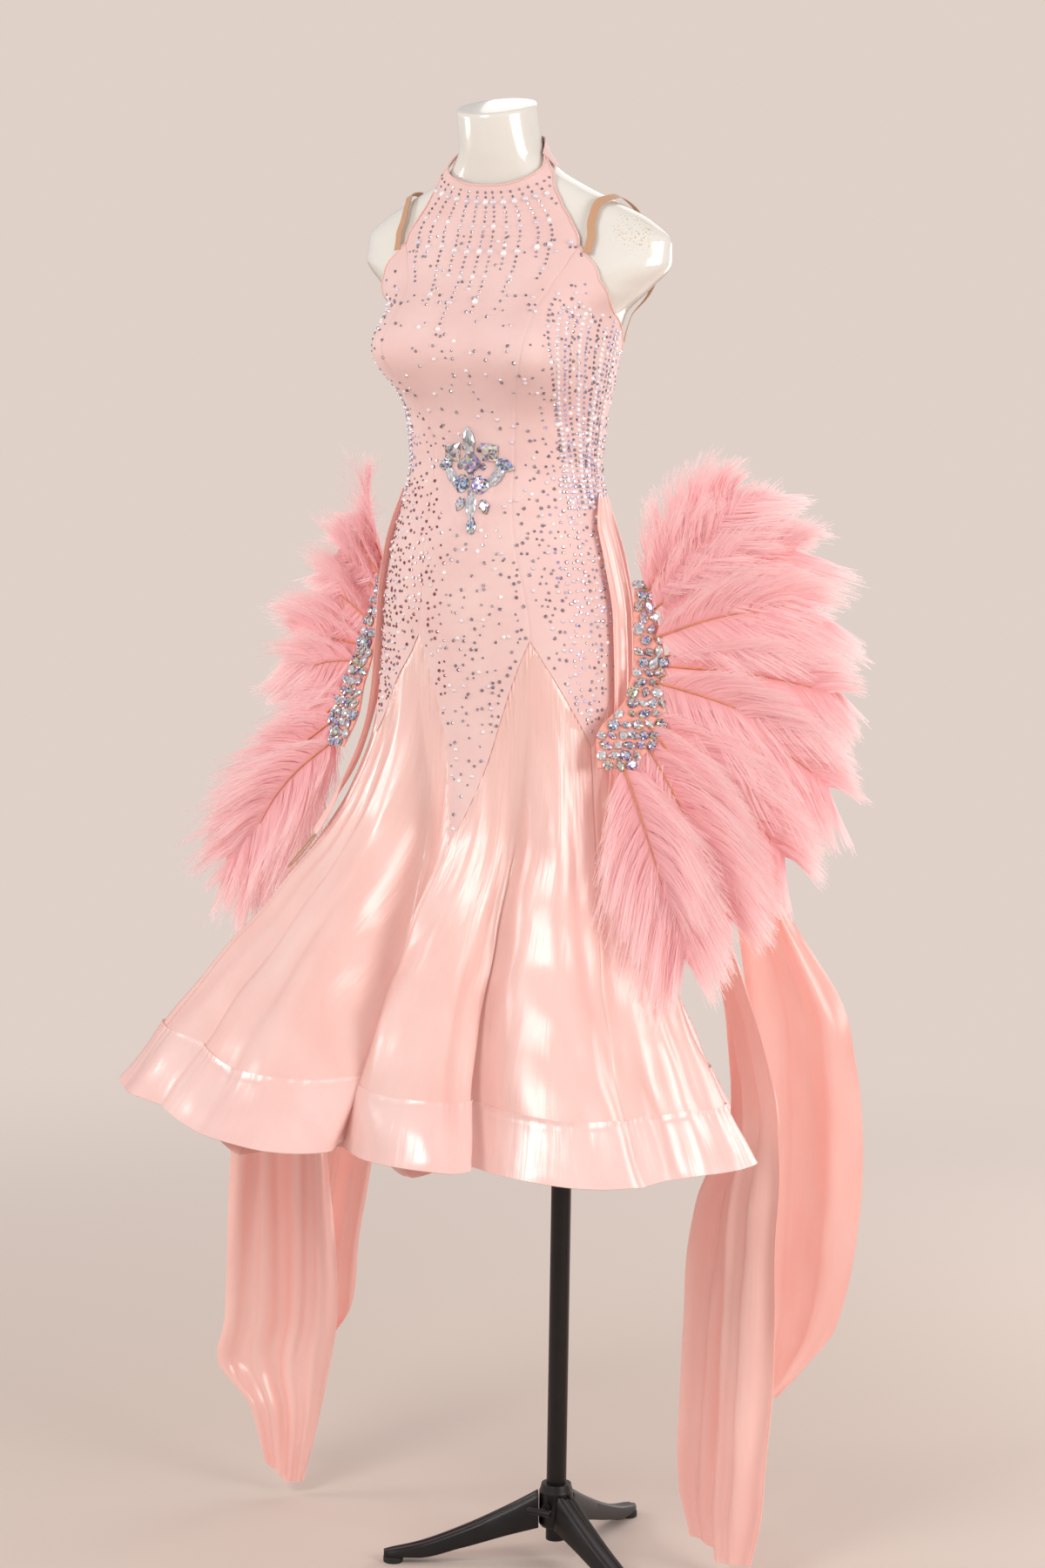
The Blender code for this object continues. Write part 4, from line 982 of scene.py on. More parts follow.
# ---------- skirt
@dataclass
class Skirt:
    """Satin gores, the stiffened hem band and the plainer skirt inside."""

    wardrobe: Wardrobe
    half_columns: int = 38
    rows: int = 84
    band_rows: int = 18
    gores: tuple[tuple[str, float, float, float], ...] = (
        ("front", 0.0, 28.5, 60.0), ("side", 60.0, 90.0, 124.0), ("back", 124.0, 152.0, 180.0),
    )
    ripples: tuple[tuple[float, float, float, float], ...] = (   # top angle, hem angle, spread, height
        (-33.0, -31.0, 3.2, 0.0052), (-22.0, -20.0, 2.6, -0.0058), (-30.0, -8.0, 3.0, 0.0046),
        (-8.0, 14.0, 3.4, 0.004), (12.0, 27.0, 2.4, -0.0044), (33.0, 48.0, 3.6, 0.006),
        (29.0, 33.0, 2.4, 0.0046), (46.0, 66.0, 3.2, -0.0052), (70.0, 86.0, 4.0, 0.006),
        (-44.0, -46.0, 3.4, 0.0056), (-58.0, -66.0, 4.2, -0.0056), (-84.0, -82.0, 4.4, 0.0058),
        (-104.0, -101.0, 3.6, -0.0052), (-126.0, -122.0, 4.0, 0.0056), (-141.0, -140.0, 3.4, -0.0054),
        (-158.0, -157.0, 3.8, 0.0056), (104.0, 108.0, 4.0, -0.0054), (121.0, 130.0, 3.6, 0.0056),
        (144.0, 147.0, 4.2, -0.0052), (163.0, 167.0, 3.6, 0.0054), (176.0, 179.0, 3.2, -0.004),
    )
    lean: Table = Table((   # angle, degrees that the folds are laid over at the hem
        (-180.0, 0.0), (-60.0, 0.0), (-44.0, 3.0), (-30.0, -2.0), (-20.0, 0.0), (-8.0, 7.0), (-4.0, 8.0),
        (0.0, 3.0), (5.0, -2.0), (10.0, -4.0), (15.0, -3.0), (22.0, 5.0), (28.0, 5.0), (32.0, 0.0),
        (36.0, -4.0), (42.0, -4.0), (50.0, -2.0), (60.0, 1.5), (70.0, 0.0), (180.0, 0.0),
    ))

    def ripple(self, height: Array, angle: Array) -> Array:
        """Returns the lesser folds: soft uneven ridges that fan from the points to the hem."""
        share = np.clip(GARMENT.share(height, angle), 0.0, 1.0)
        out = np.zeros(np.shape(share))
        for top, hem, spread, reach in self.ripples:
            away = turned(angle + GARMENT.twist(height) - (top + (hem - top) * share))
            width = spread * (0.75 + 0.5 * share)
            out += reach * bell(away, width) * eased((share - 0.1) / 0.5)
        turn = np.radians(angle)
        uneven = 0.55 + 0.45 * np.sin(turn * 5.3 + 1.1)
        swing = turn * 33.0 + 3.0 * np.sin(turn * 4.0) + 4.0 * share
        out += 0.0021 * uneven * np.sin(swing) * eased((share - 0.2) / 0.6)
        crumple = np.sin(turn * 19.0 + height * 38.0) * np.sin(turn * 11.0 - height * 29.0 + 1.0)
        out += 0.0024 * crumple * eased((share - 0.3) / 0.35)
        return out

    def lie(self, height: Array, angle: Array, out: Array | float = 0.0) -> Array:
        """Returns points of the satin with its lesser folds, the deep ones laid over to one side."""
        places = GARMENT.dress(height, angle, self.ripple(height, angle) + out)
        share = np.clip(GARMENT.share(height, angle), 0.0, 1.0)
        turn = np.radians(self.lean(turned(angle + GARMENT.twist(height)))[..., 0] * share**2)
        x, y = places[..., 0] - SHIFT[0], places[..., 1] - SHIFT[1]
        level = [x * np.cos(turn) - y * np.sin(turn) + SHIFT[0], y * np.cos(turn) + x * np.sin(turn) + SHIFT[1]]
        return np.stack([*level, places[..., 2]], -1)

    def columns(self, first: float, peak: float, last: float, sign: int) -> Array:
        """Returns the angles of a gore's columns, one of them on its point."""
        trim = 0.04
        ahead = np.linspace(first + trim, peak, self.half_columns, endpoint=False)
        return np.concatenate([ahead, np.linspace(peak, last - trim, self.half_columns)]) * sign

    def build(self) -> None:
        """Makes the gores, the bands, their stitching and the underskirt."""
        stitches: list[tuple[Array, Array, Array]] = []
        for name, first, peak, last in self.gores:
            for side, sign in SIDES:
                angle = self.columns(first, peak, last, sign)[None]
                self.gore(f"gore_{name}_{side}", angle, sign)
                stitches.append(self.band(f"hem_band_{name}_{side}", angle, sign))
        self.stitching(stitches)
        self.underskirt()

    def gore(self, name: str, angle: Array, sign: int) -> None:
        """Makes one gore, whose top tucks under the crepe."""
        up = np.linspace(0, 1, self.rows)[:, None] ** 0.92
        top = GARMENT.zigzag(angle) + 0.002
        low = GARMENT.hem(angle) + GARMENT.band_depth - 0.004
        height = low + (top - low) * up
        under = -0.0012 * eased((height - (top - 0.01)) / 0.008)
        seam = np.minimum(np.abs(angle - angle[:, :1]), np.abs(angle - angle[:, -1:]))
        under = under - 0.0014 * bell(seam, 0.5)
        fine = 0.0007 * np.sin(np.radians(angle) * 210.0 + height * 30.0) * eased((height - top + 0.09) / 0.08)
        piece = shell(f"satin_{name}", self.lie(height, angle, under + fine), self.wardrobe.satin, CLOTH, sign)
        dressed(piece, "satin", name)

    def pucker(self, angle: Array, drop: Array) -> Array:
        """Returns how the band's stitched edge puckers, dying out below the seam."""
        turn = np.radians(angle)
        wave = np.sin(turn * 190.0 + 2.0 * np.sin(turn * 23.0)) + 0.6 * np.sin(turn * 311.0 + 1.3)
        wave *= 0.62 + 0.38 * np.sin(turn * 17.0 + 0.7)
        return 0.0006 * wave * bell(drop, 0.016)

    def band(self, name: str, angle: Array, sign: int) -> tuple[Array, Array, Array]:
        """Makes one stretch of the hem band.

        Args:
            name: the frame's node that it stands for.
            angle: its columns.
            sign: the side it is on.
        Returns:
            The stitches' places, outward directions and lengthwise directions.
        """
        depth = GARMENT.band_depth
        down = np.linspace(0, 1, self.band_rows)[:, None] ** 1.25
        fine = np.concatenate([np.linspace(a, b, 2, endpoint=False) for a, b in zip(angle[0], angle[0][1:])])
        angle = np.append(fine, angle[0, -1])[None]
        height = GARMENT.hem(angle) + depth * (1 - down)
        drop = depth * down
        out = 0.0014 + self.pucker(angle, drop) + 0.001 * bell(drop - depth, 0.004)
        groove = 0.0006 * bell(drop - 0.0045, 0.0016)
        out = out + 0.0005 * bell(drop, 0.0022) - groove
        grid = self.lie(height, angle, out)[::-1]
        piece = shell(f"satin_{name}", grid, self.wardrobe.band, 0.0014, sign)
        dressed(piece, "satin", name)
        at = np.arange(angle[0, 0], angle[0, -1], 0.72 * sign)
        seam = GARMENT.hem(at) + depth - 0.0035
        place = self.lie(seam, at, 0.0014 + self.pucker(at, np.full(len(at), 0.0035)))
        return place, GARMENT.normal(seam, at), np.gradient(place, axis=0)

    def stitching(self, runs: Sequence[tuple[Array, Array, Array]]) -> None:
        """Makes the row of stitches along the hem band's seam."""
        shape = (
            np.array([[-1, 0, 0], [-0.5, -1, 0.4], [-0.5, 1, 0.4], [0.5, -1, 0.4], [0.5, 1, 0.4], [1, 0, 0],
                      [0, 0, 1.0]], float),
            np.array([[0, 1, 6], [1, 3, 6], [3, 5, 6], [5, 4, 6], [4, 2, 6], [2, 0, 6]]),
        )
        place, outward, along = (np.concatenate([run[k] for run in runs]) for k in range(3))
        sizes = np.tile([0.0012, 0.00024, 0.0003], (len(place), 1))
        points, faces = scattered(shape, place, outward, along, sizes)
        dressed(make_mesh("hem_stitching", points, faces, self.wardrobe.thread), "satin")

    def underskirt(self) -> None:
        """Makes the plainer skirt whose hem shows below the front hem."""
        for name, middle, inward in (("front", 0.0, 0.021), ("back", 180.0, 0.016)):
            angle = np.linspace(middle - 89.6, middle + 89.6, 100)[None]
            low = GARMENT.hem(angle) + 0.01 - 0.026 * bell(turned(angle - 4.0), 20.0)
            up = np.linspace(0, 1, 24)[:, None]
            height = low + (0.92 - low) * up
            wave = 0.0022 * np.sin(np.radians(angle) * 26.0 + 1.0) * (1 - up)
            inside = GARMENT.normal(height, angle) * (wave - inward)[..., None]
            base = GARMENT.middle(height, angle) + inside + SHIFT
            piece = shell(f"satin_underskirt_{name}", base, self.wardrobe.satin, CLOTH)
            dressed(piece, "satin", f"underskirt_{name}")


# ---------- drapes and floats
@dataclass
class Drapes:
    """The pleated satin drapes at the hips and the finger loop on one of them."""

    wardrobe: Wardrobe
    rows: Table = Table((   # height, front angle, back angle, front out, back out, pleat
        (1.352, 82.0, 93.0, 0.007, 0.008, 0.0015), (1.31, 75.0, 98.0, 0.008, 0.009, 0.0024),
        (1.25, 74.0, 102.0, 0.008, 0.01, 0.003), (1.19, 74.0, 104.0, 0.008, 0.011, 0.003),
        (1.12, 73.0, 100.0, 0.009, 0.011, 0.003), (1.06, 69.0, 90.0, 0.01, 0.011, 0.0028),
        (1.01, 66.0, 80.0, 0.01, 0.01, 0.0022), (0.965, 61.0, 70.0, 0.01, 0.01, 0.0016),
        (0.93, 60.0, 64.0, 0.01, 0.01, 0.0008),
    ))

    def build(self) -> None:
        """Makes both drapes and the loop."""
        t = np.linspace(0, 1, 42)[None]
        share = np.linspace(0, 1, 90)[:, None]
        low, high = self.rows.at[0], self.rows.at[-1]
        for side, sign in SIDES:
            height = low + (high - low) * share
            front, back, front_out, back_out, pleat = np.moveaxis(self.rows(height[:, 0]), -1, 0)[..., None]
            angle = sign * (front + (back - front) * t)
            sharp = np.cos(2 * pi * (3.2 * t ** 1.12 + 0.1 * np.sin(height * 9.0)))
            sharp = np.sign(sharp) * np.abs(sharp) ** 0.7
            out = front_out + (back_out - front_out) * t + pleat * 0.72 * sharp
            out = out + 0.0009 * np.sin(height * 46.0 + 3.0 * t) * eased((1.06 - height) / 0.08)
            slant = height - 0.018 * (1 - share) ** 6 * (1 - t)
            grid = GARMENT.dress(np.maximum(slant, 0.928), angle, out)
            piece = shell(f"satin_hip_drape_{side}", grid, self.wardrobe.fall, CLOTH, sign)
            dressed(piece, "satin", f"hip_drape_{side}")
        turn = 2 * pi * np.linspace(0.06, 0.94, 40) - pi / 2
        path = GARMENT.dress(0.9278 - 0.021 * (1 + np.sin(turn)), -62.0 + 1.1 * np.cos(turn), 0.008)
        points, faces = tube(path, 0.0009, 8)
        dressed(make_mesh("finger_loop", points, faces, self.wardrobe.elastic), "elastic", "drape_loop_right")


@dataclass
class Floats:
    """The satin lengths that hang from the back of the hips to the floor."""

    wardrobe: Wardrobe
    # height, x and y of the first edge, x and y of the second, depth of the folds
    tables: dict[str, tuple[tuple[float, ...], ...]] = field(default_factory=lambda: {
        "left_fall": (
            (1.06, 0.196, 0.05, 0.176, 0.088, 0.003), (0.96, 0.216, 0.056, 0.19, 0.118, 0.006),
            (0.82, 0.256, 0.066, 0.198, 0.166, 0.009), (0.68, 0.298, 0.076, 0.226, 0.184, 0.011),
            (0.58, 0.318, 0.084, 0.236, 0.184, 0.012), (0.46, 0.316, 0.086, 0.2, 0.158, 0.013),
            (0.2, 0.32, 0.082, 0.19, 0.14, 0.011), (0.09, 0.314, 0.08, 0.19, 0.134, 0.009),
            (0.02, 0.304, 0.084, 0.212, 0.122, 0.005),
        ),
        "left_sail": (
            (1.04, 0.184, 0.104, 0.166, 0.13, 0.003), (0.94, 0.206, 0.14, 0.202, 0.18, 0.006),
            (0.82, 0.222, 0.186, 0.284, 0.216, 0.009), (0.68, 0.232, 0.21, 0.362, 0.224, 0.011),
            (0.52, 0.236, 0.212, 0.382, 0.224, 0.012), (0.4, 0.24, 0.204, 0.378, 0.212, 0.011),
            (0.31, 0.254, 0.19, 0.362, 0.196, 0.009), (0.26, 0.268, 0.168, 0.332, 0.174, 0.006),
            (0.224, 0.286, 0.148, 0.306, 0.154, 0.003),
        ),
        "right_fall": (
            (1.06, -0.198, 0.044, -0.18, 0.08, 0.003), (0.96, -0.23, 0.046, -0.206, 0.11, 0.006),
            (0.82, -0.304, 0.05, -0.262, 0.15, 0.009), (0.68, -0.392, 0.056, -0.346, 0.172, 0.011),
            (0.58, -0.438, 0.06, -0.378, 0.176, 0.012), (0.44, -0.448, 0.062, -0.346, 0.15, 0.013),
            (0.24, -0.454, 0.066, -0.322, 0.13, 0.011), (0.188, -0.466, 0.068, -0.326, 0.124, 0.01),
            (0.11, -0.42, 0.074, -0.338, 0.116, 0.008), (0.018, -0.4, 0.08, -0.356, 0.106, 0.004),
        ),
        "right_sail": (
            (1.04, -0.18, 0.096, -0.158, 0.124, 0.003), (0.94, -0.212, 0.12, -0.18, 0.17, 0.006),
            (0.82, -0.258, 0.172, -0.21, 0.232, 0.009), (0.68, -0.34, 0.204, -0.274, 0.276, 0.012),
            (0.58, -0.37, 0.212, -0.302, 0.28, 0.013), (0.44, -0.386, 0.184, -0.33, 0.24, 0.014),
            (0.3, -0.392, 0.17, -0.342, 0.222, 0.012), (0.215, -0.39, 0.172, -0.346, 0.218, 0.009),
            (0.168, -0.386, 0.174, -0.364, 0.198, 0.004),
        ),
    })
    lifts: dict[str, float] = field(default_factory=lambda: {   # how far one corner of the end is lifted
        "left_fall": 0.02, "left_sail": -0.03, "right_fall": -0.03, "right_sail": 0.04,
    })
    flats: dict[str, tuple[float, float, float]] = field(default_factory=lambda: {   # width, length, area
        "left_fall": (0.2, 1.1, 0.165), "left_sail": (0.2, 0.86, 0.12),
        "right_fall": (0.2, 1.12, 0.17), "right_sail": (0.18, 0.9, 0.12),
    })

    def build(self) -> None:
        """Makes the four lengths."""
        for index, (name, rows) in enumerate(self.tables.items()):
            self.length(name, Table(rows), index)

    def length(self, name: str, table: Table, index: int) -> None:
        """Makes one length: a few deep folds down it and slight creases across it."""
        count = 100
        share = np.linspace(0, 1, count)[:, None]
        low, high = table.at[0], table.at[-1]
        height = low + (high - low) * share
        start_x, start_y, end_x, end_y, wave = np.moveaxis(table(height[:, 0]), -1, 0)[..., None]
        t = np.linspace(0, 1, 52)[None]
        across = unit(np.stack([end_x - start_x, end_y - start_y, 0 * start_x], -1))
        outward = np.cross(across, np.array(UP))
        sheer = name.endswith("sail")
        sway = 0.5 * np.sin(4.0 * share + index) + 0.25 * np.sin(9.0 * share + 2.0 * index)
        fold = np.sin(2 * pi * 1.5 * t + 0.6 + sway)
        fine = np.sin(2 * pi * (3.6 - sheer) * t ** 1.15 + 1.6 * np.sin(2.2 * share + index))
        fine = np.sign(fine) * np.abs(fine) ** 0.65 * eased((1 - share) / 0.3)
        fold = 0.86 * fold + (0.3 if sheer else 0.58) * fine
        edge = bell(t, 0.03) + bell(1 - t, 0.03)
        foot = bell(share, 0.035)
        ruffle = 0.0016 * edge * np.sin(share * (31.0 + 5 * index) + index) * eased((0.86 - share) / 0.2)
        ruffle = ruffle + 0.003 * foot * np.sin(t * 11.0 + index)
        crease = 0.0015 * np.sin(share * 34.0 + 5.0 * t + index) * np.sin(share * 13.0 + 9.0 * t)
        place = np.stack([start_x + (end_x - start_x) * t, start_y + (end_y - start_y) * t, 0 * t + height], -1)
        place = place + outward * (wave * fold + ruffle + crease)[..., None]
        hem = self.lifts[name] * np.maximum(0.0, 1 - share * 6.5) * (t - 0.5) * 2
        place[..., 2] += hem * 0.5 + np.abs(hem) * 0.5
        material = self.wardrobe.sheer if sheer else self.wardrobe.fall
        piece = shell(f"satin_float_{name}", place + SHIFT, material, CLOTH)
        dressed(piece, "satin", f"float_{name}")


# ---------- feathers
@dataclass
class Fans:
    """Ostrich plumes that stand out from stone-covered crescents at the hips."""

    wardrobe: Wardrobe
    rows: Table = Table((   # share, inner x, y, outer x, y, height, lift, reach, turn
        (0.0, 0.1685, -0.012, 0.181, -0.002, 1.2555, 66.0, 0.188, 32.0),
        (0.2, 0.1735, -0.024, 0.196, -0.006, 1.21, 40.0, 0.21, 31.0),
        (0.42, 0.179, -0.032, 0.2105, -0.01, 1.159, -3.0, 0.228, 30.0),
        (0.62, 0.179, -0.052, 0.218, -0.028, 1.118, -29.0, 0.232, 29.0),
        (0.8, 0.164, -0.094, 0.225, -0.048, 1.08, -52.0, 0.22, 22.0),
        (1.0, 0.174, -0.112, 0.205, -0.088, 1.0405, -67.0, 0.214, 11.0),
    ))
    swept: Table = Table((   # the same share, lift, reach and turn on the wearer's right
        (0.0, 42.0, 0.165, 50.0), (0.25, 26.0, 0.198, 45.0), (0.45, 0.0, 0.225, 34.0),
        (0.65, -22.0, 0.225, 42.0), (0.82, -38.0, 0.218, 27.0), (1.0, -40.0, 0.226, 6.0),
    ))
    layers: tuple[tuple[int, float, float, float], ...] = (   # plumes, first share, depth behind, reach
        (8, 0.02, 0.0, 1.0), (7, 0.09, 0.01, 0.97), (5, 0.06, -0.008, 0.74),
    )
    barbs: int = 500
    steps: int = 4

    def crescent(self, share: Array, across: Array, sign: int, out: float = 0.0) -> Array:
        """Returns points of a crescent: share runs down it, across runs outward."""
        share, across = matched(share, across)
        in_x, in_y, out_x, out_y, height = np.moveaxis(self.rows(share), -1, 0)[:5]
        bulge = 4 * across * (1 - across) * 0.0015 + out
        x = in_x + (out_x - in_x) * across + bulge
        y = in_y + (out_y - in_y) * across - bulge * 0.5
        return np.stack([sign * x, y, height], -1) + SHIFT

    def build(self) -> None:
        """Makes both crescents' backings and their plumes."""
        for side, sign in SIDES:
            share = np.linspace(1, 0, 60)[:, None]
            grid = self.crescent(share, np.linspace(0, 1, 12)[None], sign)
            piece = shell(f"crescent_backing_{side}", grid, self.wardrobe.backing, 0.0024, sign)
            dressed(piece, "fan_base", f"fan_base_{side}")
            quills: list[tuple[Array, list[Array]]] = []
            nodes = [f"feather_fan_{side}"]
            for layer, (count, first, behind, part) in enumerate(self.layers):
                blades = []
                for index in range(count):
                    spot = first + (0.99 - first) * index / (count - 1)
                    seed = 100 * layer + index + (50 if sign < 0 else 0)
                    blade, quill = self.plume(spot, sign, behind, part, np.random.default_rng(seed))
                    blades.append(blade)
                    quills.append(quill)
                points = np.concatenate([blade[0] for blade in blades])
                uv = np.concatenate([blade[1] for blade in blades])
                per = (self.steps + 1) * 2
                strip = grid_quads(self.steps + 1, 2)
                faces = (strip[None] + np.arange(len(points) // per)[:, None, None] * per).reshape(-1, 4)
                made = make_mesh(f"plumes_{side}_{layer + 1}", points, faces, self.wardrobe.plume, uv=uv)
                dressed(made, "feather", *nodes)
                nodes = []
            points, faces = together(quills)
            dressed(make_mesh(f"quills_{side}", points, faces, self.wardrobe.quill), "feather")

    def plume(
        self, share: float, sign: int, behind: float, part: float, chance: np.random.Generator
    ) -> tuple[tuple[Array, Array], tuple[Array, list[Array]]]:
        """Makes one plume.

        Args:
            share: where on the crescent it leaves.
            sign: 1 on the wearer's left.
            behind: how far back its root is set.
            part: its length as a share of the longest there.
            chance: the source of its unevenness.
        Returns:
            The barbs' points and cloth places, and the quill's points and faces.
        """
        row = self.rows(share)
        lift, reach, turn = row[5:8] if sign > 0 else self.swept(share)
        reach = reach * part * chance.uniform(0.86, 0.95)
        splay, lift = turn + chance.uniform(-4, 4), radians(lift + chance.uniform(-4, 4))
        level = np.array([sign * cos(radians(splay)), sin(radians(splay)), 0.0])
        ahead = level * cos(lift) + np.array([0.0, 0.0, sin(lift)])
        side = unit(np.cross(ahead, np.cross(level, np.array(UP)) * -1.0))
        face = unit(np.cross(side, ahead))
        if face[1] > 0:
            face = -face
        root = self.crescent(share, 0.8, sign) + ahead * 0.002 + np.array([0.0, 0.003 + behind, 0.0])
        bow = chance.uniform(-0.012, 0.014)
        droop = 0.028 * chance.uniform(0.7, 1.3)

        def spine(t: Array) -> Array:
            """Returns points of the quill."""
            t = np.asarray(t, float)[..., None]
            return (
                root + ahead * reach * t + side * bow * t * t + face * 0.012 * np.sin(t * 2.6)
                - np.array([0.0, 0.0, droop]) * t**3
            )

        count = self.barbs * 2
        at = np.concatenate([np.sort(chance.random(self.barbs) ** 0.9) for _ in (0, 1)])
        hand = np.repeat([1.0, -1.0], self.barbs)
        width = 0.08 * part**0.5 * chance.uniform(0.92, 1.08)
        taper = np.sqrt(np.clip(1.1 - ((at - 0.4) / 0.66) ** 2, 0.22, 1))
        long = width * (0.55 + 0.45 * eased(at / 0.25)) * taper * chance.uniform(0.78, 1.12, count)
        clump = np.floor(at * 26 + hand * 0.31)
        tilt = chance.uniform(-1, 1, 80)[(clump + 20).astype(int)]
        lean = np.radians(64 - 26 * at**1.5 + 4 * tilt + chance.normal(0, 4.0, count))
        off = chance.uniform(-1, 1, 80)[(clump + 40).astype(int) % 80]
        q = np.linspace(0, 1, self.steps + 1)[None, :, None]
        forward = unit(spine(at + 0.01) - spine(at - 0.01))
        out = forward * np.cos(lean)[:, None] + side * (np.sin(lean) * hand)[:, None]
        size, curl = long[:, None, None], off[:, None, None]
        pull = ((clump + 0.5) / 26 - at)[:, None, None] * reach * 0.22
        lilt = 0.24 * curl + chance.normal(0, 0.1, count)[:, None, None]
        wave = np.sin(5.5 * q + 3.0 * curl + chance.normal(0, 0.5, count)[:, None, None]) * 0.055 * q
        place = spine(at)[:, None] + out[:, None] * size * q
        place = place + forward[:, None] * (pull + size * (0.34 + 0.12 * curl)) * q**2
        place = place + face * size * (lilt * q**2 + 0.16 * q)
        place = place + (face * 0.8 + forward[:, None]) * size * wave
        place = place - np.array(UP) * size * 0.3 * q**2
        thin = 0.0006 * (1 - 0.55 * q) * chance.uniform(0.8, 1.25, count)[:, None, None]
        flat = unit(np.cross(out, face) + face * chance.normal(0, 0.2, count)[:, None])[:, None]
        ribbon = np.stack([place - flat * thin, place + flat * thin], 2).reshape(-1, 3)
        tone = np.clip(0.55 + 0.3 * off + chance.normal(0, 0.14, count), 0, 1)
        reach_uv = np.broadcast_to(np.clip(0.18 + 0.82 * q, 0, 1), (count, self.steps + 1, 2))
        uv = np.stack([reach_uv, np.broadcast_to(tone[:, None, None], reach_uv.shape)], -1).reshape(-1, 2)
        stem = np.linspace(-0.02, 0.9, 16)
        quill = tube(spine(stem) + face * 0.0012, 0.0013 * (1 - 0.75 * stem), 5)
        return (ribbon, uv), quill


# ---------- stones and pearls
class Cut(Enum):
    """The outlines that the large stones are cut to."""

    NAVETTE = "navette"
    DROP = "drop"
    SQUARE = "square"
    KITE = "kite"
    OVAL = "oval"


def outline(cut: Cut) -> Array:
    """Returns the girdle of a cut, counter-clockwise, in a box from -1 to 1."""
    turn = np.linspace(0, 2 * pi, 12, endpoint=False)
    x, y = np.cos(turn), np.sin(turn)
    if cut is Cut.NAVETTE:
        y = np.sign(y) * np.abs(y) ** 1.5
    if cut is Cut.DROP:
        y = y * (1 - 0.62 * np.clip(x, 0, 1)) * (1 - 0.25 * (x > 0.95))
    if cut is Cut.SQUARE:
        grow = 1 / np.maximum(np.abs(x), np.abs(y)) ** 0.85
        x, y = x * grow, y * grow
    if cut is Cut.KITE:
        size = np.abs(x) + np.abs(y)
        x, y = x / size, y / size
        x = np.where(x > 0, x * 0.8, x)
    return np.stack([x, y], -1)


def stacked(rings: Sequence[Array], peak: float) -> tuple[Array, Array]:
    """Returns the points and triangles of rings of points closed by a point on top."""
    count, top = len(rings[0]), len(rings[0]) * (len(rings) - 1)
    k = np.arange(count)
    after = (k + 1) % count
    faces = []
    for low in range(0, top, count):
        high = low + count
        faces += [(low + k, low + after, high + after), (low + k, high + after, high + k)]
    faces.append((top + k, top + after, np.full(count, top + count)))
    return np.concatenate([*rings, [[0, 0, peak]]]), np.concatenate([np.stack(face, -1) for face in faces])


def gem(cut: Cut, table: float = 0.52) -> tuple[Array, Array]:
    """Returns a cut stone's points and triangles: girdle, a ring of kite facets and a table."""
    edge = outline(cut)
    count = len(edge)
    middle = (edge + np.roll(edge, -1, 0)) / 2 * 0.8
    levels = ((edge, 0.0), (edge, 0.3), (middle, 0.74), (edge * table, 1.0))
    points, faces = stacked([np.column_stack([ring, np.full(count, level)]) for ring, level in levels], 1.0)
    k = np.arange(count)
    after = (k + 1) % count
    kites = [(count + k, count + after, 2 * count + k), (count + after, 2 * count + after, 2 * count + k)]
    faces[2 * count:4 * count] = np.concatenate([np.stack(kite, -1) for kite in kites])
    return points, faces


def octagon() -> Array:
    """Returns eight points round a circle."""
    turn = np.linspace(0, 2 * pi, 8, endpoint=False)
    return np.stack([np.cos(turn), np.sin(turn), 0 * turn], -1)


def rhinestone() -> tuple[Array, Array]:
    """Returns a small flat-backed stone with eight crown facets."""
    return stacked([octagon(), octagon() * 0.55 + [0, 0, 1.0]], 1.0)


def pearl_shape() -> tuple[Array, Array]:
    """Returns a half pearl."""
    return stacked([octagon() * cos(tip) + [0, 0, 1.25 * sin(tip)] for tip in (0.0, 0.5, 1.0)], 1.25)


# The clear sort's colours are all painted reflection, as clear glass shows what it reflects; in aurora and
# silver the near-white and near-black entries are painted reflection too, the rest the stones' own coatings.
PALETTES: dict[str, tuple[tuple[Colour, float], ...]] = {   # colours and their weights
    "clear": (
        ((0.92, 0.9, 0.92), 2), ((0.36, 0.31, 0.36), 4), ((0.52, 0.44, 0.62), 1.5), ((0.18, 0.13, 0.17), 3),
    ),
    "aurora": (
        ((0.97, 0.96, 0.97), 4), ((0.3, 0.24, 0.72), 2), ((0.3, 0.6, 0.92), 1.2), ((0.8, 0.88, 0.36), 1.5),
        ((0.96, 0.66, 0.46), 1), ((0.8, 0.36, 0.68), 1), ((0.1, 0.09, 0.13), 3),
    ),
    # darker stones for the low wearer's right: a rosy cast darkened by painted reflection of the dark room on
    # that side
    "painted_dark_rose": (
        ((0.34, 0.11, 0.14), 4), ((0.52, 0.24, 0.27), 2), ((0.16, 0.05, 0.08), 3), ((0.95, 0.78, 0.78), 0.7),
    ),
    "violet": (
        ((0.52, 0.46, 0.86), 3), ((0.86, 0.84, 0.95), 3), ((0.34, 0.4, 0.78), 2), ((0.84, 0.58, 0.8), 1),
    ),
    "silver": (((0.8, 0.82, 0.86), 4), ((0.46, 0.48, 0.54), 3), ((0.97, 0.97, 0.98), 3)),
    "pearl": (((0.78, 0.74, 0.77), 3), ((0.68, 0.6, 0.68), 2), ((0.95, 0.92, 0.92), 1.5)),
}


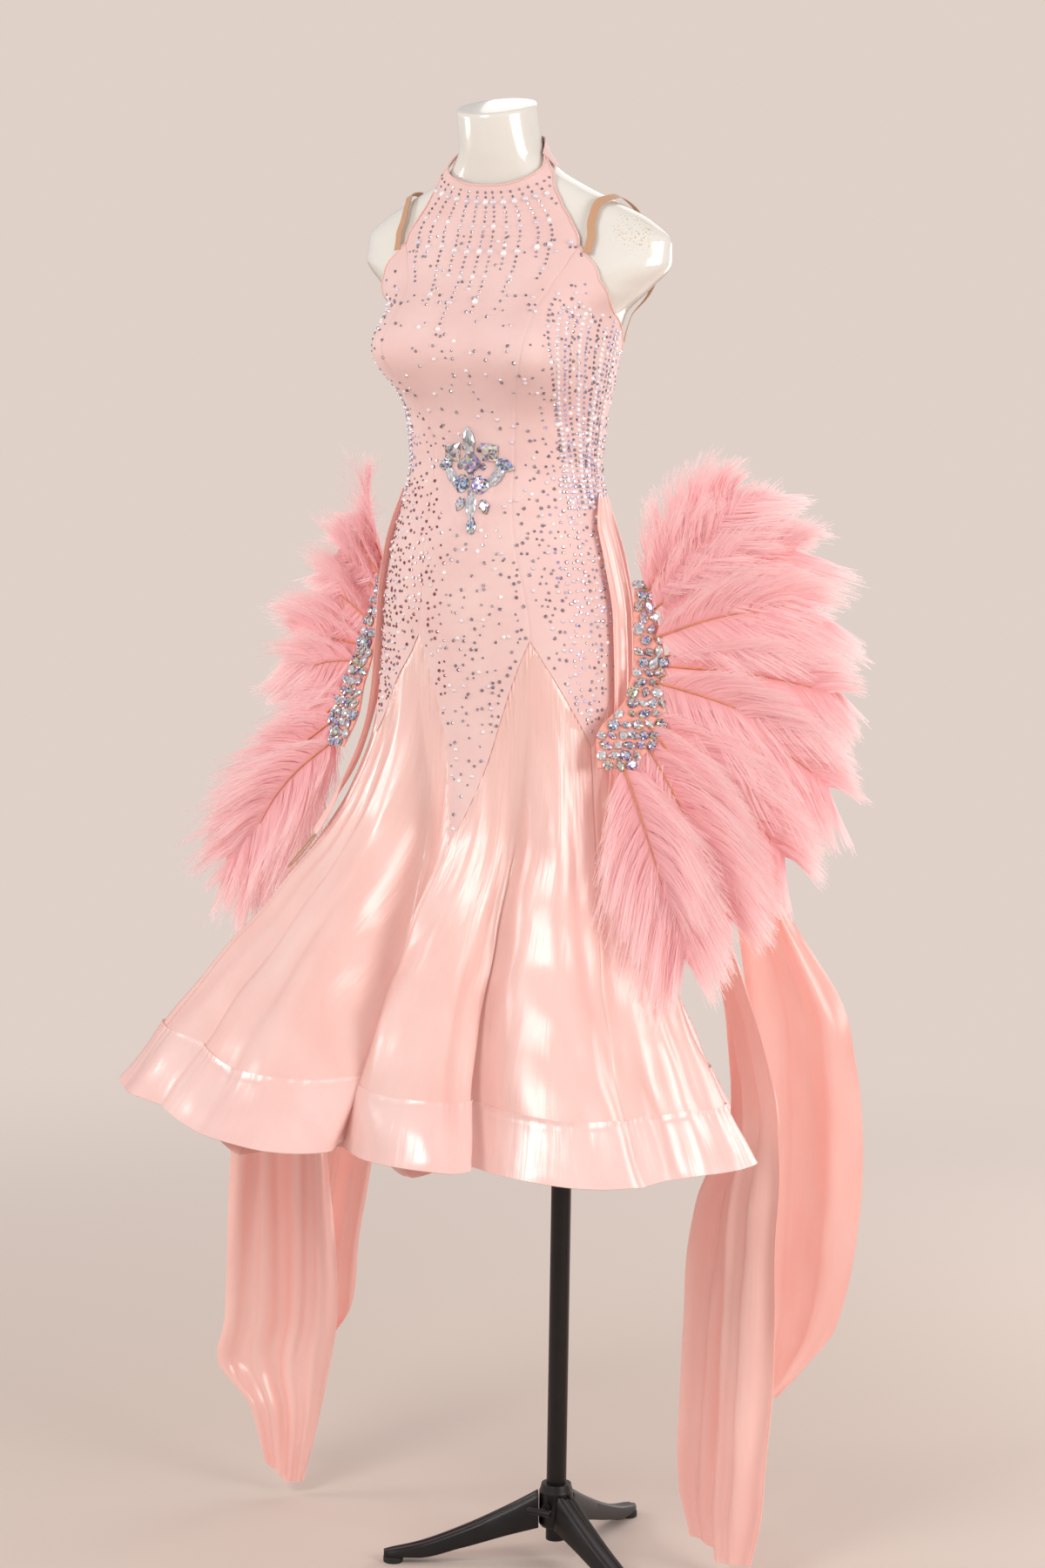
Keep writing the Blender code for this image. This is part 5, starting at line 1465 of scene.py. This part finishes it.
def tints(palette: str, stones: int, facets: int, chance: np.random.Generator) -> Array:
    """Returns a colour for each facet of each stone; a stone's facets share a cast but flash apart, a painted
    reflection that differs from facet to facet.
    """
    colours = np.array([colour for colour, _ in PALETTES[palette]])
    weights = np.array([weight for _, weight in PALETTES[palette]], float)
    weights /= weights.sum()
    whole = colours[chance.choice(len(colours), stones, p=weights)]
    single = colours[chance.choice(len(colours), (stones, facets), p=weights)]
    share = 0.15 if palette == "pearl" else 0.78
    mixed = whole[:, None] * (1 - share) + single * share
    least = 0.96 if palette == "pearl" else 0.72
    mixed = np.clip(mixed * chance.uniform(least, 1.12, (stones, facets, 1)), 0, 1)
    return np.concatenate([mixed.reshape(-1, 3), np.ones((stones * facets, 1))], 1)


@dataclass
class Trail:
    """Small stones of one sort, gathered before they are made."""

    shape: tuple[Array, Array]
    palette: str
    places: list[tuple[float, float, float]] = field(default_factory=list)   # height, angle, radius

    def add(self, height: float, angle: float, radius: float) -> None:
        """Adds a stone."""
        self.places.append((height, angle, radius))


@dataclass
class Stones:
    """The rhinestones and pearls of the bodice, the centre applique and the hip crescents."""

    wardrobe: Wardrobe
    chance: np.random.Generator = field(default_factory=lambda: np.random.default_rng(11))
    bodice: Bodice | None = None
    rays: tuple[tuple[float, float, float], ...] = (   # angle at the neck, drift in degrees, length
        (-58.0, -9.0, 0.075), (-50.0, -8.0, 0.105), (-42.0, -7.0, 0.08), (-35.0, -7.0, 0.13),
        (-28.0, -6.0, 0.095), (-21.0, -5.0, 0.15), (-14.0, -4.0, 0.11), (-7.5, -3.0, 0.178),
        (-1.5, -1.0, 0.12), (4.0, 1.5, 0.15), (10.0, 3.0, 0.1), (16.5, 4.0, 0.13), (23.0, 6.0, 0.09),
        (30.0, 7.0, 0.12), (38.0, 7.0, 0.085), (46.0, 8.0, 0.1), (54.0, 9.0, 0.07),
    )
    middle: tuple[float, float, float] = (1.369, 1.5, 0.105)   # height, angle and radius at the applique
    # millimetres across and up, cut, half length, half width, turn, palette
    applique: tuple[tuple[float, float, Cut, float, float, float, str], ...] = (
        (-3.5, 50.0, Cut.NAVETTE, 14.0, 6.0, 90.0, "silver"),
        (-23.5, 36.0, Cut.KITE, 10.5, 8.5, 225.0, "aurora"),
        (20.0, 37.5, Cut.KITE, 10.5, 8.5, 315.0, "aurora"), (-2.0, 23.5, Cut.KITE, 11.5, 9.5, 270.0, "aurora"),
        (-33.0, 21.0, Cut.DROP, 7.5, 6.0, 200.0, "aurora"), (36.0, 22.5, Cut.DROP, 9.0, 6.0, 340.0, "aurora"),
        (-23.5, 6.5, Cut.NAVETTE, 12.0, 5.0, 128.0, "silver"),
        (27.0, 7.5, Cut.NAVETTE, 12.0, 5.0, 52.0, "silver"),
        (-10.5, -2.0, Cut.SQUARE, 7.6, 7.6, 45.0, "aurora"),
        (10.5, -3.0, Cut.SQUARE, 7.6, 7.6, 45.0, "aurora"),
        (2.5, -27.0, Cut.NAVETTE, 12.0, 5.5, 90.0, "silver"),
        (-9.5, -26.0, Cut.DROP, 7.0, 5.0, 250.0, "aurora"), (16.5, -28.0, Cut.DROP, 7.0, 5.0, 290.0, "aurora"),
        (3.5, -50.0, Cut.DROP, 8.5, 4.8, 90.0, "aurora"), (-14.5, 20.0, Cut.OVAL, 3.2, 3.0, 90.0, "clear"),
        (12.0, 20.0, Cut.OVAL, 3.2, 3.0, 90.0, "clear"), (0.5, 7.0, Cut.OVAL, 3.2, 3.0, 90.0, "clear"),
        (0.5, -12.5, Cut.OVAL, 3.0, 2.8, 90.0, "clear"), (-8.5, 43.0, Cut.OVAL, 2.6, 2.4, 90.0, "clear"),
        (8.0, 41.0, Cut.OVAL, 2.6, 2.4, 90.0, "clear"),
    )

    def free(self, height: float, angle: float) -> bool:
        """Returns whether a stone there lies on crepe, clear of the edges and the applique."""
        away = abs(float(turned(angle)))
        seam = float(self.bodice.princess(height)[0])
        if height < float(GARMENT.zigzag(angle)) + 0.007:
            return False
        if height > self.bodice.arm_start:
            inside = away < seam - 2.4 and height < float(straight(self.bodice.neckline, away)) - 0.006
        else:
            inside = away <= 37.2 or height < float(straight(self.bodice.armhole, away)) - 0.006
        across = float(turned(angle - self.middle[1])) / 1.7 * 0.0031
        return inside and (across / 0.042) ** 2 + ((height - 1.372) / 0.058) ** 2 > 1

    def lay(self, name: str, trails: Sequence[Trail], material: Material) -> None:
        """Makes the stones of several trails as one piece."""
        points, faces, colours, base = [], [], [], 0
        for trail in trails:
            height, angle, radius = np.array(trail.places).T
            outward = GARMENT.normal(height, angle)
            along = np.random.default_rng(3).normal(size=outward.shape)
            place = GARMENT.dress(height, angle, 0.0007)
            sizes = np.stack([radius, radius, radius * 0.72], -1)
            body, blocks = scattered(trail.shape, place, outward, along, sizes)
            points.append(body)
            faces.append(blocks + base)
            base += len(body)
            colours.append(tints(trail.palette, len(place), len(trail.shape[1]), self.chance))
        piece = make_mesh(name, np.concatenate(points), np.concatenate(faces), material,
                          tint=np.concatenate(colours), smooth=material is self.wardrobe.pearl)
        dressed(piece, "crystal")

    def scatter(self, trails: dict[str, Trail], pearls: Trail) -> None:
        """Strews stones over the waist, the hips and the points."""
        step = 0.0088
        for row, height in enumerate(np.arange(0.945, 1.66, step)):
            around = float(GARMENT.radius(np.array(height), np.array(45.0)))
            count = int(2 * pi * around / step)
            for column in range(count):
                angle = float(turned(360.0 * (column + 0.5 * (row % 2)) / count + self.chance.normal(0, 1.0)))
                spot = height + self.chance.normal(0, 0.0018)
                away = abs(angle)
                side = eased((away - 18.0) / 40.0)
                waist = exp(-(((height - 1.33) / 0.11) ** 2))
                want = 0.3 + 0.62 * waist * (0.4 + 0.6 * side) + 0.5 * side * (height < 1.32)
                if height > 1.46:
                    want = 0.2 + 0.25 * side
                if away > 110:
                    want *= 0.7
                if height < 1.2:
                    want = 0.55 + 0.25 * side
                if -100 < angle < -12 and 1.12 < height < 1.36:
                    want = min(0.95, want + 0.22)
                if self.chance.random() > want or not self.free(spot, angle):
                    continue
                if self.chance.random() < 0.14:
                    pearls.add(spot, angle, 0.0025)
                    continue
                # painted reflection: low on the wearer's right most stones take the darker sort, as that side
                # reflects the dark room
                dark = angle < -12 and self.chance.random() < 0.8 and height < 1.37
                sort = "painted_dark_rose" if dark else "violet" if side > 0.7 and self.chance.random() < 0.35 else "clear"
                trails[sort].add(spot, angle, float(self.chance.choice([0.0017, 0.0021, 0.0025])))

    def radiate(self, trails: dict[str, Trail], pearls: Trail) -> None:
        """Runs lines of tiny stones down from the neck, with a pearl every few."""
        for start, drift, long in self.rays:
            steps = int(long / 0.006)
            for index in range(steps):
                share = index / steps
                spread = start * (1 - 0.42 * share * min(1.0, long / 0.12)) + drift * share
                top = float(straight(self.bodice.neckline, abs(start))) - 0.009
                height = top - long * share * (1 - 0.1 * abs(start) / 60)
                if self.free(height, spread):
                    if index % 5 == 2:
                        pearls.add(height, spread, 0.0038 if index % 10 == 2 else 0.0028)
                    else:
                        trails["clear"].add(height, spread, 0.002)

    def chains(self, trails: dict[str, Trail], pearls: Trail) -> None:
        """Runs lines of pearls and violet stones down each side, drawing together at the waist."""
        for sign in (1, -1):
            for line in range(11):
                high, low = 37.0 + 5.4 * line, 61.0 + 2.9 * line
                top = 1.592 - 0.0035 * line - 0.012 * (line % 2)
                count = int((top - 1.335) / 0.0062)
                for index in range(count):
                    share = index / count
                    angle = high + (low - high) * eased(share) + 1.2 * sin(share * 5 + line)
                    height = top - (top - 1.335) * share
                    if not self.free(height, sign * angle):
                        continue
                    if line % 3 == 1 or index % 6 == 0:
                        pearls.add(height, sign * angle, 0.0028)
                    else:
                        trails["violet" if line % 3 == 2 else "clear"].add(height, sign * angle, 0.0022)

    def build(self) -> None:
        """Makes every stone."""
        trails = {sort: Trail(rhinestone(), sort) for sort in ("clear", "painted_dark_rose", "violet")}
        pearls = Trail(pearl_shape(), "pearl")
        self.scatter(trails, pearls)
        self.radiate(trails, pearls)
        self.chains(trails, pearls)
        self.lay("bodice_rhinestones", list(trails.values()), self.wardrobe.crystal)
        self.lay("bodice_pearls", [pearls], self.wardrobe.pearl)
        self.centre()
        self.crescents()

    def centre(self) -> None:
        """Makes the applique: its backing, large cut stones and the small ones between them."""
        height = np.linspace(1.306, 1.42, 24)[:, None]
        lobes = Table(((1.302, 0.006), (1.33, 0.019), (1.372, 0.03), (1.4, 0.035), (1.424, 0.014)))
        half = lobes(height[:, 0])
        level, facing, radius = self.middle
        angle = facing + np.degrees(half / radius) * np.linspace(-0.96, 0.96, 16)[None]
        inside = 1 - np.maximum(np.linspace(-1, 1, 24)[:, None] ** 6, np.linspace(-1, 1, 16)[None] ** 6)
        grid = GARMENT.dress(height, angle, 0.0018 * inside)
        piece = shell("applique_backing", grid, self.wardrobe.crepe, 0.0006)
        dressed(piece, "crystal", "centre_applique")
        parts, colours = [], []
        for across, up, cut, long, wide, turn, palette in self.applique:
            spot = (level + up / 1000, facing + degrees(across / 1000 / radius))
            grow = 1.62 if cut is Cut.KITE else 1.36
            place, outward = GARMENT.dress(*spot, 0.002), GARMENT.normal(*spot)
            parts.append(self.set_stone(gem(cut), place, outward, long * grow, wide * grow, turn))
            colours.append(tints(palette, 1, len(gem(cut)[1]), self.chance))
        self.group("applique_stones", parts, colours)

    def group(self, name: str, parts: list[tuple[Array, list[Array]]], colours: list[Array]) -> None:
        """Makes large stones as one piece."""
        points, faces = together(parts)
        tint = np.concatenate(colours)
        dressed(make_mesh(name, points, faces, self.wardrobe.crystal, tint=tint, smooth=False), "crystal")

    def set_stone(
        self, shape: tuple[Array, Array], place: Array, outward: Array, long: float, wide: float, turn: float
    ) -> tuple[Array, list[Array]]:
        """Sets one large stone; long and wide are half sizes in millimetres, turn is from level."""
        level = unit(np.cross(np.array(UP), outward))
        along = level * cos(radians(turn)) + np.cross(outward, level) * sin(radians(turn))
        sizes = np.array([[long, wide, 0.42 * min(long, wide) + 1.2]]) / 1000
        points, faces = scattered(shape, place[None], outward[None], along[None], sizes)
        return points, [faces]

    def crescents(self) -> None:
        """Covers both crescents with large cut stones, four or five across."""
        fans = Fans(self.wardrobe)
        cuts = [Cut.NAVETTE, Cut.DROP, Cut.SQUARE, Cut.KITE, Cut.OVAL, Cut.DROP]
        for side, sign in SIDES:
            parts, colours = [], []
            for row, share in enumerate(np.linspace(0.02, 0.98, 18)):
                edges = fans.crescent(share, np.array([0.0, 1.0]), sign)
                wide = float(np.linalg.norm(edges[1] - edges[0]))
                count = max(2, round(wide / 0.0135))
                for column in range(count):
                    across = (column + 0.5 + 0.22 * ((row % 2) * 2 - 1)) / count
                    cut = cuts[(row * 2 + column * 3) % len(cuts)]
                    step = 0.004
                    here = fans.crescent(share, across, sign, 0.0026)
                    down = fans.crescent(share + step, across, sign) - fans.crescent(share - step, across, sign)
                    over = fans.crescent(share, across + 0.02, sign) - fans.crescent(share, across - 0.02, sign)
                    outward = unit(np.cross(over, down)) * -sign
                    size = self.chance.uniform(0.85, 1.15)
                    slender = cut in (Cut.NAVETTE, Cut.DROP)
                    half = (8.0 if slender else 6.6) * size
                    slim = half * (0.62 if slender else 0.92)
                    turn = self.chance.uniform(0, 360)
                    parts.append(self.set_stone(gem(cut), here, outward, half, slim, turn))
                    palette = "silver" if (row + column) % 4 == 0 else "aurora"
                    colours.append(tints(palette, 1, len(gem(cut)[1]), self.chance))
            self.group(f"crescent_stones_{side}", parts, colours)


# ---------- dress form and stand
@dataclass
class DressForm:
    """The white torso, open below, with the slanted cut of its neck and the base plate."""

    wardrobe: Wardrobe
    bottom: float = 1.09
    neck: float = 1.8
    rise: float = 0.012
    columns: int = 128

    def build(self) -> None:
        """Makes the torso with its rolled lower edge and crowned neck cap."""
        angle = np.linspace(0, 360, self.columns, endpoint=False)[None]
        torso, shoulders = np.linspace(self.bottom, 1.56, 40), np.linspace(1.564, self.neck, 66)
        height = np.concatenate([torso, shoulders])[:, None]
        points = GARMENT.form(height, angle) + SHIFT
        top = points[-1]
        tilt = self.rise * (1 + (top[:, 1] - SHIFT[1] + 0.049) / 0.05)
        blend = eased((height[:, 0] - 1.772) / (self.neck - 1.772))[:, None]
        points[..., 2] += blend * tilt[None]
        rim = points[-1]
        crown = rim.mean(0)
        rows = [points]
        inward_by = (0.018, 0.05, 0.12, 0.3, 0.6, 0.97)
        lifts = (0.0014, 0.0022, 0.0026, 0.0034, 0.0042, 0.0046)
        for inward, lift in zip(inward_by, lifts):
            rows.append((rim + (crown - rim) * inward + [0, 0, lift])[None])
        inner = GARMENT.form(np.array([[self.bottom + 0.001]]), angle) + SHIFT
        middle = inner.mean(1, keepdims=True)
        under = middle + (inner - middle) * 0.968
        wall = [under + [0, 0, lift] for lift in (0.045, 0.006, 0.0)]
        lip = middle + (inner - middle) * 0.985 - [0, 0, 0.0008]
        grid = np.concatenate([*wall, lip, *rows])
        faces = grid_quads(len(grid), self.columns, closed=True)
        tip = len(grid) * self.columns
        last = np.arange(tip - self.columns, tip)
        cap = np.stack([last, np.roll(last, -1), np.full(self.columns, tip)], -1)
        flat = np.concatenate([grid.reshape(-1, 3), (crown + [0, 0, 0.0046])[None]])
        piece = make_mesh("dress_form", flat, [faces, cap], self.wardrobe.form, crisp=55.0)
        dressed(piece, "form", "form_torso")
        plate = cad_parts["form_base_plate"]
        plate.data.materials.clear()
        plate.data.materials.append(self.wardrobe.form)


def select_only(piece: Object) -> None:
    """Selects one object and makes it active."""
    bpy.ops.object.select_all(action="DESELECT")
    piece.select_set(True)
    bpy.context.view_layer.objects.active = piece


def bevelled(piece: Object, width: float, segments: int = 3, limit: float = 30.0) -> None:
    """Rounds a piece's edges, applies the modifier and shades it smooth."""
    select_only(piece)
    edge = piece.modifiers.new("edge", "BEVEL")
    edge.width, edge.segments, edge.limit_method = width, segments, "ANGLE"
    edge.angle_limit = radians(limit)
    bpy.ops.object.modifier_apply(modifier="edge")
    bpy.ops.object.shade_smooth_by_angle(angle=radians(35))


def cylinder(name: str, radius: float, depth: float, place: Vector, vertices: int = 40,
             turn: tuple[float, float, float] = (0, 0, 0)) -> Object:
    """Adds a cylinder about its middle."""
    bpy.ops.object.select_all(action="DESELECT")
    bpy.ops.mesh.primitive_cylinder_add(
        vertices=vertices, radius=radius, depth=depth, location=place, rotation=turn
    )
    made = bpy.context.object
    made.name = name
    return made


@dataclass
class Stand:
    """The black tripod: pole, hub, clamp screw, folded legs and rubber feet."""

    wardrobe: Wardrobe
    leg_angles: tuple[tuple[str, float], ...] = (("back", 90.0), ("right", 210.0), ("left", 330.0))
    pole_radius: float = 0.0125
    hub: tuple[float, float, float] = (0.048, 0.104, 0.0215)
    screw_height: float = 0.078

    def __post_init__(self) -> None:
        """Finds the pole's axis."""
        self.axis = Vector((POLE[0], POLE[1], 0.0)) + Vector(SHIFT)

    def upright(self, name: str, radius: float, low: float, high: float) -> Object:
        """Adds an upright cylinder on the pole's axis."""
        return cylinder(name, radius, high - low, self.axis + UP * ((low + high) / 2), 72)

    def grow(self, piece: Object, chosen: Callable[[Vector], bool], *steps: tuple[float, float]) -> None:
        """Extrudes a cylinder's end faces in steps, each with a rise and a change of scale."""
        select_only(piece)
        bpy.ops.object.mode_set(mode="EDIT")
        bpy.ops.mesh.select_mode(type="FACE")
        bpy.ops.mesh.select_all(action="DESELECT")
        bpy.ops.object.mode_set(mode="OBJECT")
        for face in piece.data.polygons:
            face.select = chosen(face.normal)
        bpy.ops.object.mode_set(mode="EDIT")
        for rise, scale in steps:
            bpy.ops.mesh.extrude_region_move(TRANSFORM_OT_translate={"value": (0, 0, rise)})
            bpy.ops.transform.resize(value=(scale, scale, 1.0))
        bpy.ops.object.mode_set(mode="OBJECT")

    def settle(self, piece: Object, material: Material, slot: str, *nodes: str, body: str = BODY) -> None:
        """Applies a piece's place, gives it its finish and puts it on its body."""
        select_only(piece)
        bpy.ops.object.transform_apply(location=True, rotation=True, scale=True)
        piece.data.materials.clear()
        piece.data.materials.append(material)
        dressed(piece, slot, *nodes, body=body)

    def build(self) -> None:
        """Makes the whole stand."""
        pole_top = float(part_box("pole")[1][2])
        pole = self.upright("stand_pole", self.pole_radius, 0.03, pole_top)
        bevelled(pole, 0.0012)
        self.settle(pole, self.wardrobe.black, "steel", "pole")
        low, high, radius = self.hub
        hub = self.upright("stand_hub", radius, low + 0.004, high - 0.01)
        self.grow(hub, lambda normal: normal.z > 0.9, (0.0, 1.0), (0.004, 0.93), (0.006, 0.93))
        self.grow(hub, lambda normal: normal.z < -0.9, (-0.001, 0.97), (-0.003, 0.9))
        bevelled(hub, 0.0008)
        self.settle(hub, self.wardrobe.black, "steel", "hub")
        for name, angle in self.leg_angles:
            self.leg(name, radians(angle))
        self.screw()

    def leg(self, name: str, angle: float) -> None:
        """Makes one tapered leg of folded sheet, its rib and its foot."""
        along = Vector((cos(angle), sin(angle), 0))
        across = UP.cross(along)
        rows = Table((   # reach from the pole, low edge, high edge, half width
            (0.0225, 0.05, 0.092, 0.017), (0.06, 0.04, 0.072, 0.016), (0.12, 0.022, 0.044, 0.0145),
            (0.175, 0.0086, 0.024, 0.013), (0.217, 0.0086, 0.015, 0.011),
        ))
        profile = ((-1.0, 0.0), (1.0, 0.0), (0.96, 0.35), (0.8, 0.86), (0.62, 1.0), (0.3, 1.0), (0.22, 0.93),
                   (-0.22, 0.93), (-0.3, 1.0), (-0.62, 1.0), (-0.8, 0.86), (-0.96, 0.35))
        points, steps = [], 40
        for reach in np.linspace(rows.at[0], rows.at[-1], steps):
            low, high, half = rows(reach)
            tip = 1 - 0.35 * float(eased((reach - 0.207) / 0.01))
            for side, up in profile:
                place = self.axis + along * float(reach) + across * float(side * half * tip)
                points.append(place + UP * float(low + (high - low) * up))
        count = len(profile)
        quads = grid_quads(steps, count, closed=True)
        ends = np.stack([np.arange(count)[::-1], (steps - 1) * count + np.arange(count)])
        leg = make_mesh(f"stand_leg_{name}", np.array(points), [quads, ends], self.wardrobe.black)
        bevelled(leg, 0.0007, 2, 28.0)
        dressed(leg, "steel", f"leg_{name}")
        foot = cylinder(f"stand_foot_{name}", 0.0125, 0.008, self.axis + along * 0.205 + UP * 0.004, 48)
        bevelled(foot, 0.0014)
        self.settle(foot, self.wardrobe.sole, "rubber", f"foot_{name}")

    def screw(self) -> None:
        """Makes the clamp screw and its T handle, which turn together in the hub."""
        reach, start, collar = 0.046, 0.0223, 0.006
        place, ahead, quarter = self.axis + UP * self.screw_height, Vector((0, -1, 0)), radians(90)
        parts = [
            cylinder("rod", 0.0032, reach - start, place + ahead * ((start + reach) / 2), turn=(quarter, 0, 0)),
            cylinder("collar", 0.0054, collar, place + ahead * (start + collar / 2), turn=(quarter, 0, 0)),
            cylinder("handle", 0.0042, 0.032, place + ahead * reach, turn=(0, quarter, 0)),
        ]
        for part, width, segments in zip(parts, (0.0005, 0.0005, 0.0016), (2, 2, 4)):
            bevelled(part, width, segments)
        select_only(parts[0])
        for part in parts:
            part.select_set(True)
        bpy.ops.object.join()
        parts[0].name = "clamp_t_screw"
        self.settle(parts[0], self.wardrobe.black, "steel", "clamp_screw", body=SCREW_BODY)


# ---------- studio
@dataclass
class Studio:
    """A pale floor, soft lights and the camera."""

    lens: float = 88.0
    pitch: float = 8.0
    azimuth: float = 28.0
    roll: float = 0.86
    distance: float = 4.67
    aside: float = -0.056
    height: float = 1.65

    def basis(self) -> tuple[Vector, Vector]:
        """Returns the level directions out towards the camera and to its right."""
        turn = radians(self.azimuth)
        return Vector((sin(turn), -cos(turn), 0)), Vector((cos(turn), sin(turn), 0))

    def camera(self) -> None:
        """Makes the camera."""
        out, right = self.basis()
        pitch, roll = radians(self.pitch), radians(self.roll)
        forward = -out * cos(pitch) - UP * sin(pitch)
        above = UP * cos(pitch) - out * sin(pitch)
        across = right * cos(roll) + above * sin(roll)
        upward = above * cos(roll) - right * sin(roll)
        data = bpy.data.cameras.new("view")
        data.lens, data.sensor_width, data.sensor_fit = self.lens, 36.0, "AUTO"
        data.clip_end = 100.0
        made = bpy.data.objects.new("view", data)
        place = Vector((POLE[0], POLE[1], 0)) + Vector(SHIFT) + out * self.distance + right * self.aside
        place.z = self.height
        turn = Matrix((across, upward, -forward)).transposed().to_4x4()
        made.matrix_world = Matrix.Translation(place) @ turn
        bpy.context.scene.collection.objects.link(made)
        bpy.context.scene.camera = made

    def lamp(self, name: str, side: float, ahead: float, height: float, size: float, power: float,
             colour: Colour, aim: float = 1.05) -> None:
        """Makes a square soft light, placed by its distance to the camera's right and ahead of the dress."""
        out, right = self.basis()
        data = bpy.data.lights.new(name, "AREA")
        data.shape, data.size, data.energy, data.color = "SQUARE", size, power, colour
        made = bpy.data.objects.new(name, data)
        made.location = Vector(SHIFT) + out * ahead + right * side + Vector((0, 0, height))
        look = Vector(SHIFT) + Vector((0, 0, aim)) - made.location
        made.rotation_euler = look.to_track_quat("-Z", "Y").to_euler()
        bpy.context.scene.collection.objects.link(made)

    def build(self) -> None:
        """Makes the floor, the lights, the surrounding light and the camera."""
        bpy.ops.object.select_all(action="DESELECT")
        bpy.ops.mesh.primitive_plane_add(size=40.0, location=(0, 0, 0))
        floor = bpy.context.object
        floor.name = "floor"
        floor.data.materials.append(FadingFloor().make())
        self.lamp("key", -1.9, 2.6, 2.9, 1.2, 50.0, (1.0, 0.97, 0.94))
        self.lamp("fill", 2.4, 2.0, 1.9, 1.6, 52.0, (1.0, 0.95, 0.92))
        self.lamp("hair", 0.6, -2.2, 3.1, 1.8, 10.0, (1.0, 0.97, 0.95), 1.3)
        self.lamp("low", 1.9, -1.7, 1.0, 1.6, 28.0, (1.0, 0.93, 0.9), 0.55)
        self.lamp("strip", -2.4, -0.2, 1.5, 0.7, 16.0, (1.0, 0.98, 0.96), 1.0)
        world = bpy.data.worlds.new("room")
        bpy.context.scene.world = world
        world.use_nodes = True
        nodes, links = world.node_tree.nodes, world.node_tree.links
        both = nodes.new("ShaderNodeMixShader")
        links.new(nodes.new("ShaderNodeLightPath").outputs["Is Camera Ray"], both.inputs[0])
        for index, (colour, strength) in enumerate((((0.97, 0.91, 0.89), 0.58), ((0.74, 0.635, 0.58), 1.0)), 1):
            light = nodes.new("ShaderNodeBackground")
            light.inputs["Color"].default_value = (*colour, 1.0)
            light.inputs["Strength"].default_value = strength
            links.new(light.outputs[0], both.inputs[index])
        links.new(both.outputs[0], nodes["World Output"].inputs["Surface"])
        bpy.context.scene.view_settings.view_transform = "Standard"
        self.camera()


def main() -> None:
    """Builds the object's pieces in order and notes its size."""
    logging.basicConfig(level=logging.INFO, format="%(message)s")
    Studio().build()
    wardrobe = Wardrobe()
    DressForm(wardrobe).build()
    Stand(wardrobe).build()
    bodice = Bodice(wardrobe)
    bodice.build()
    Skirt(wardrobe).build()
    Drapes(wardrobe).build()
    Floats(wardrobe).build()
    Fans(wardrobe).build()
    Stones(wardrobe, bodice=bodice).build()


if __name__ == "__main__":
    main()
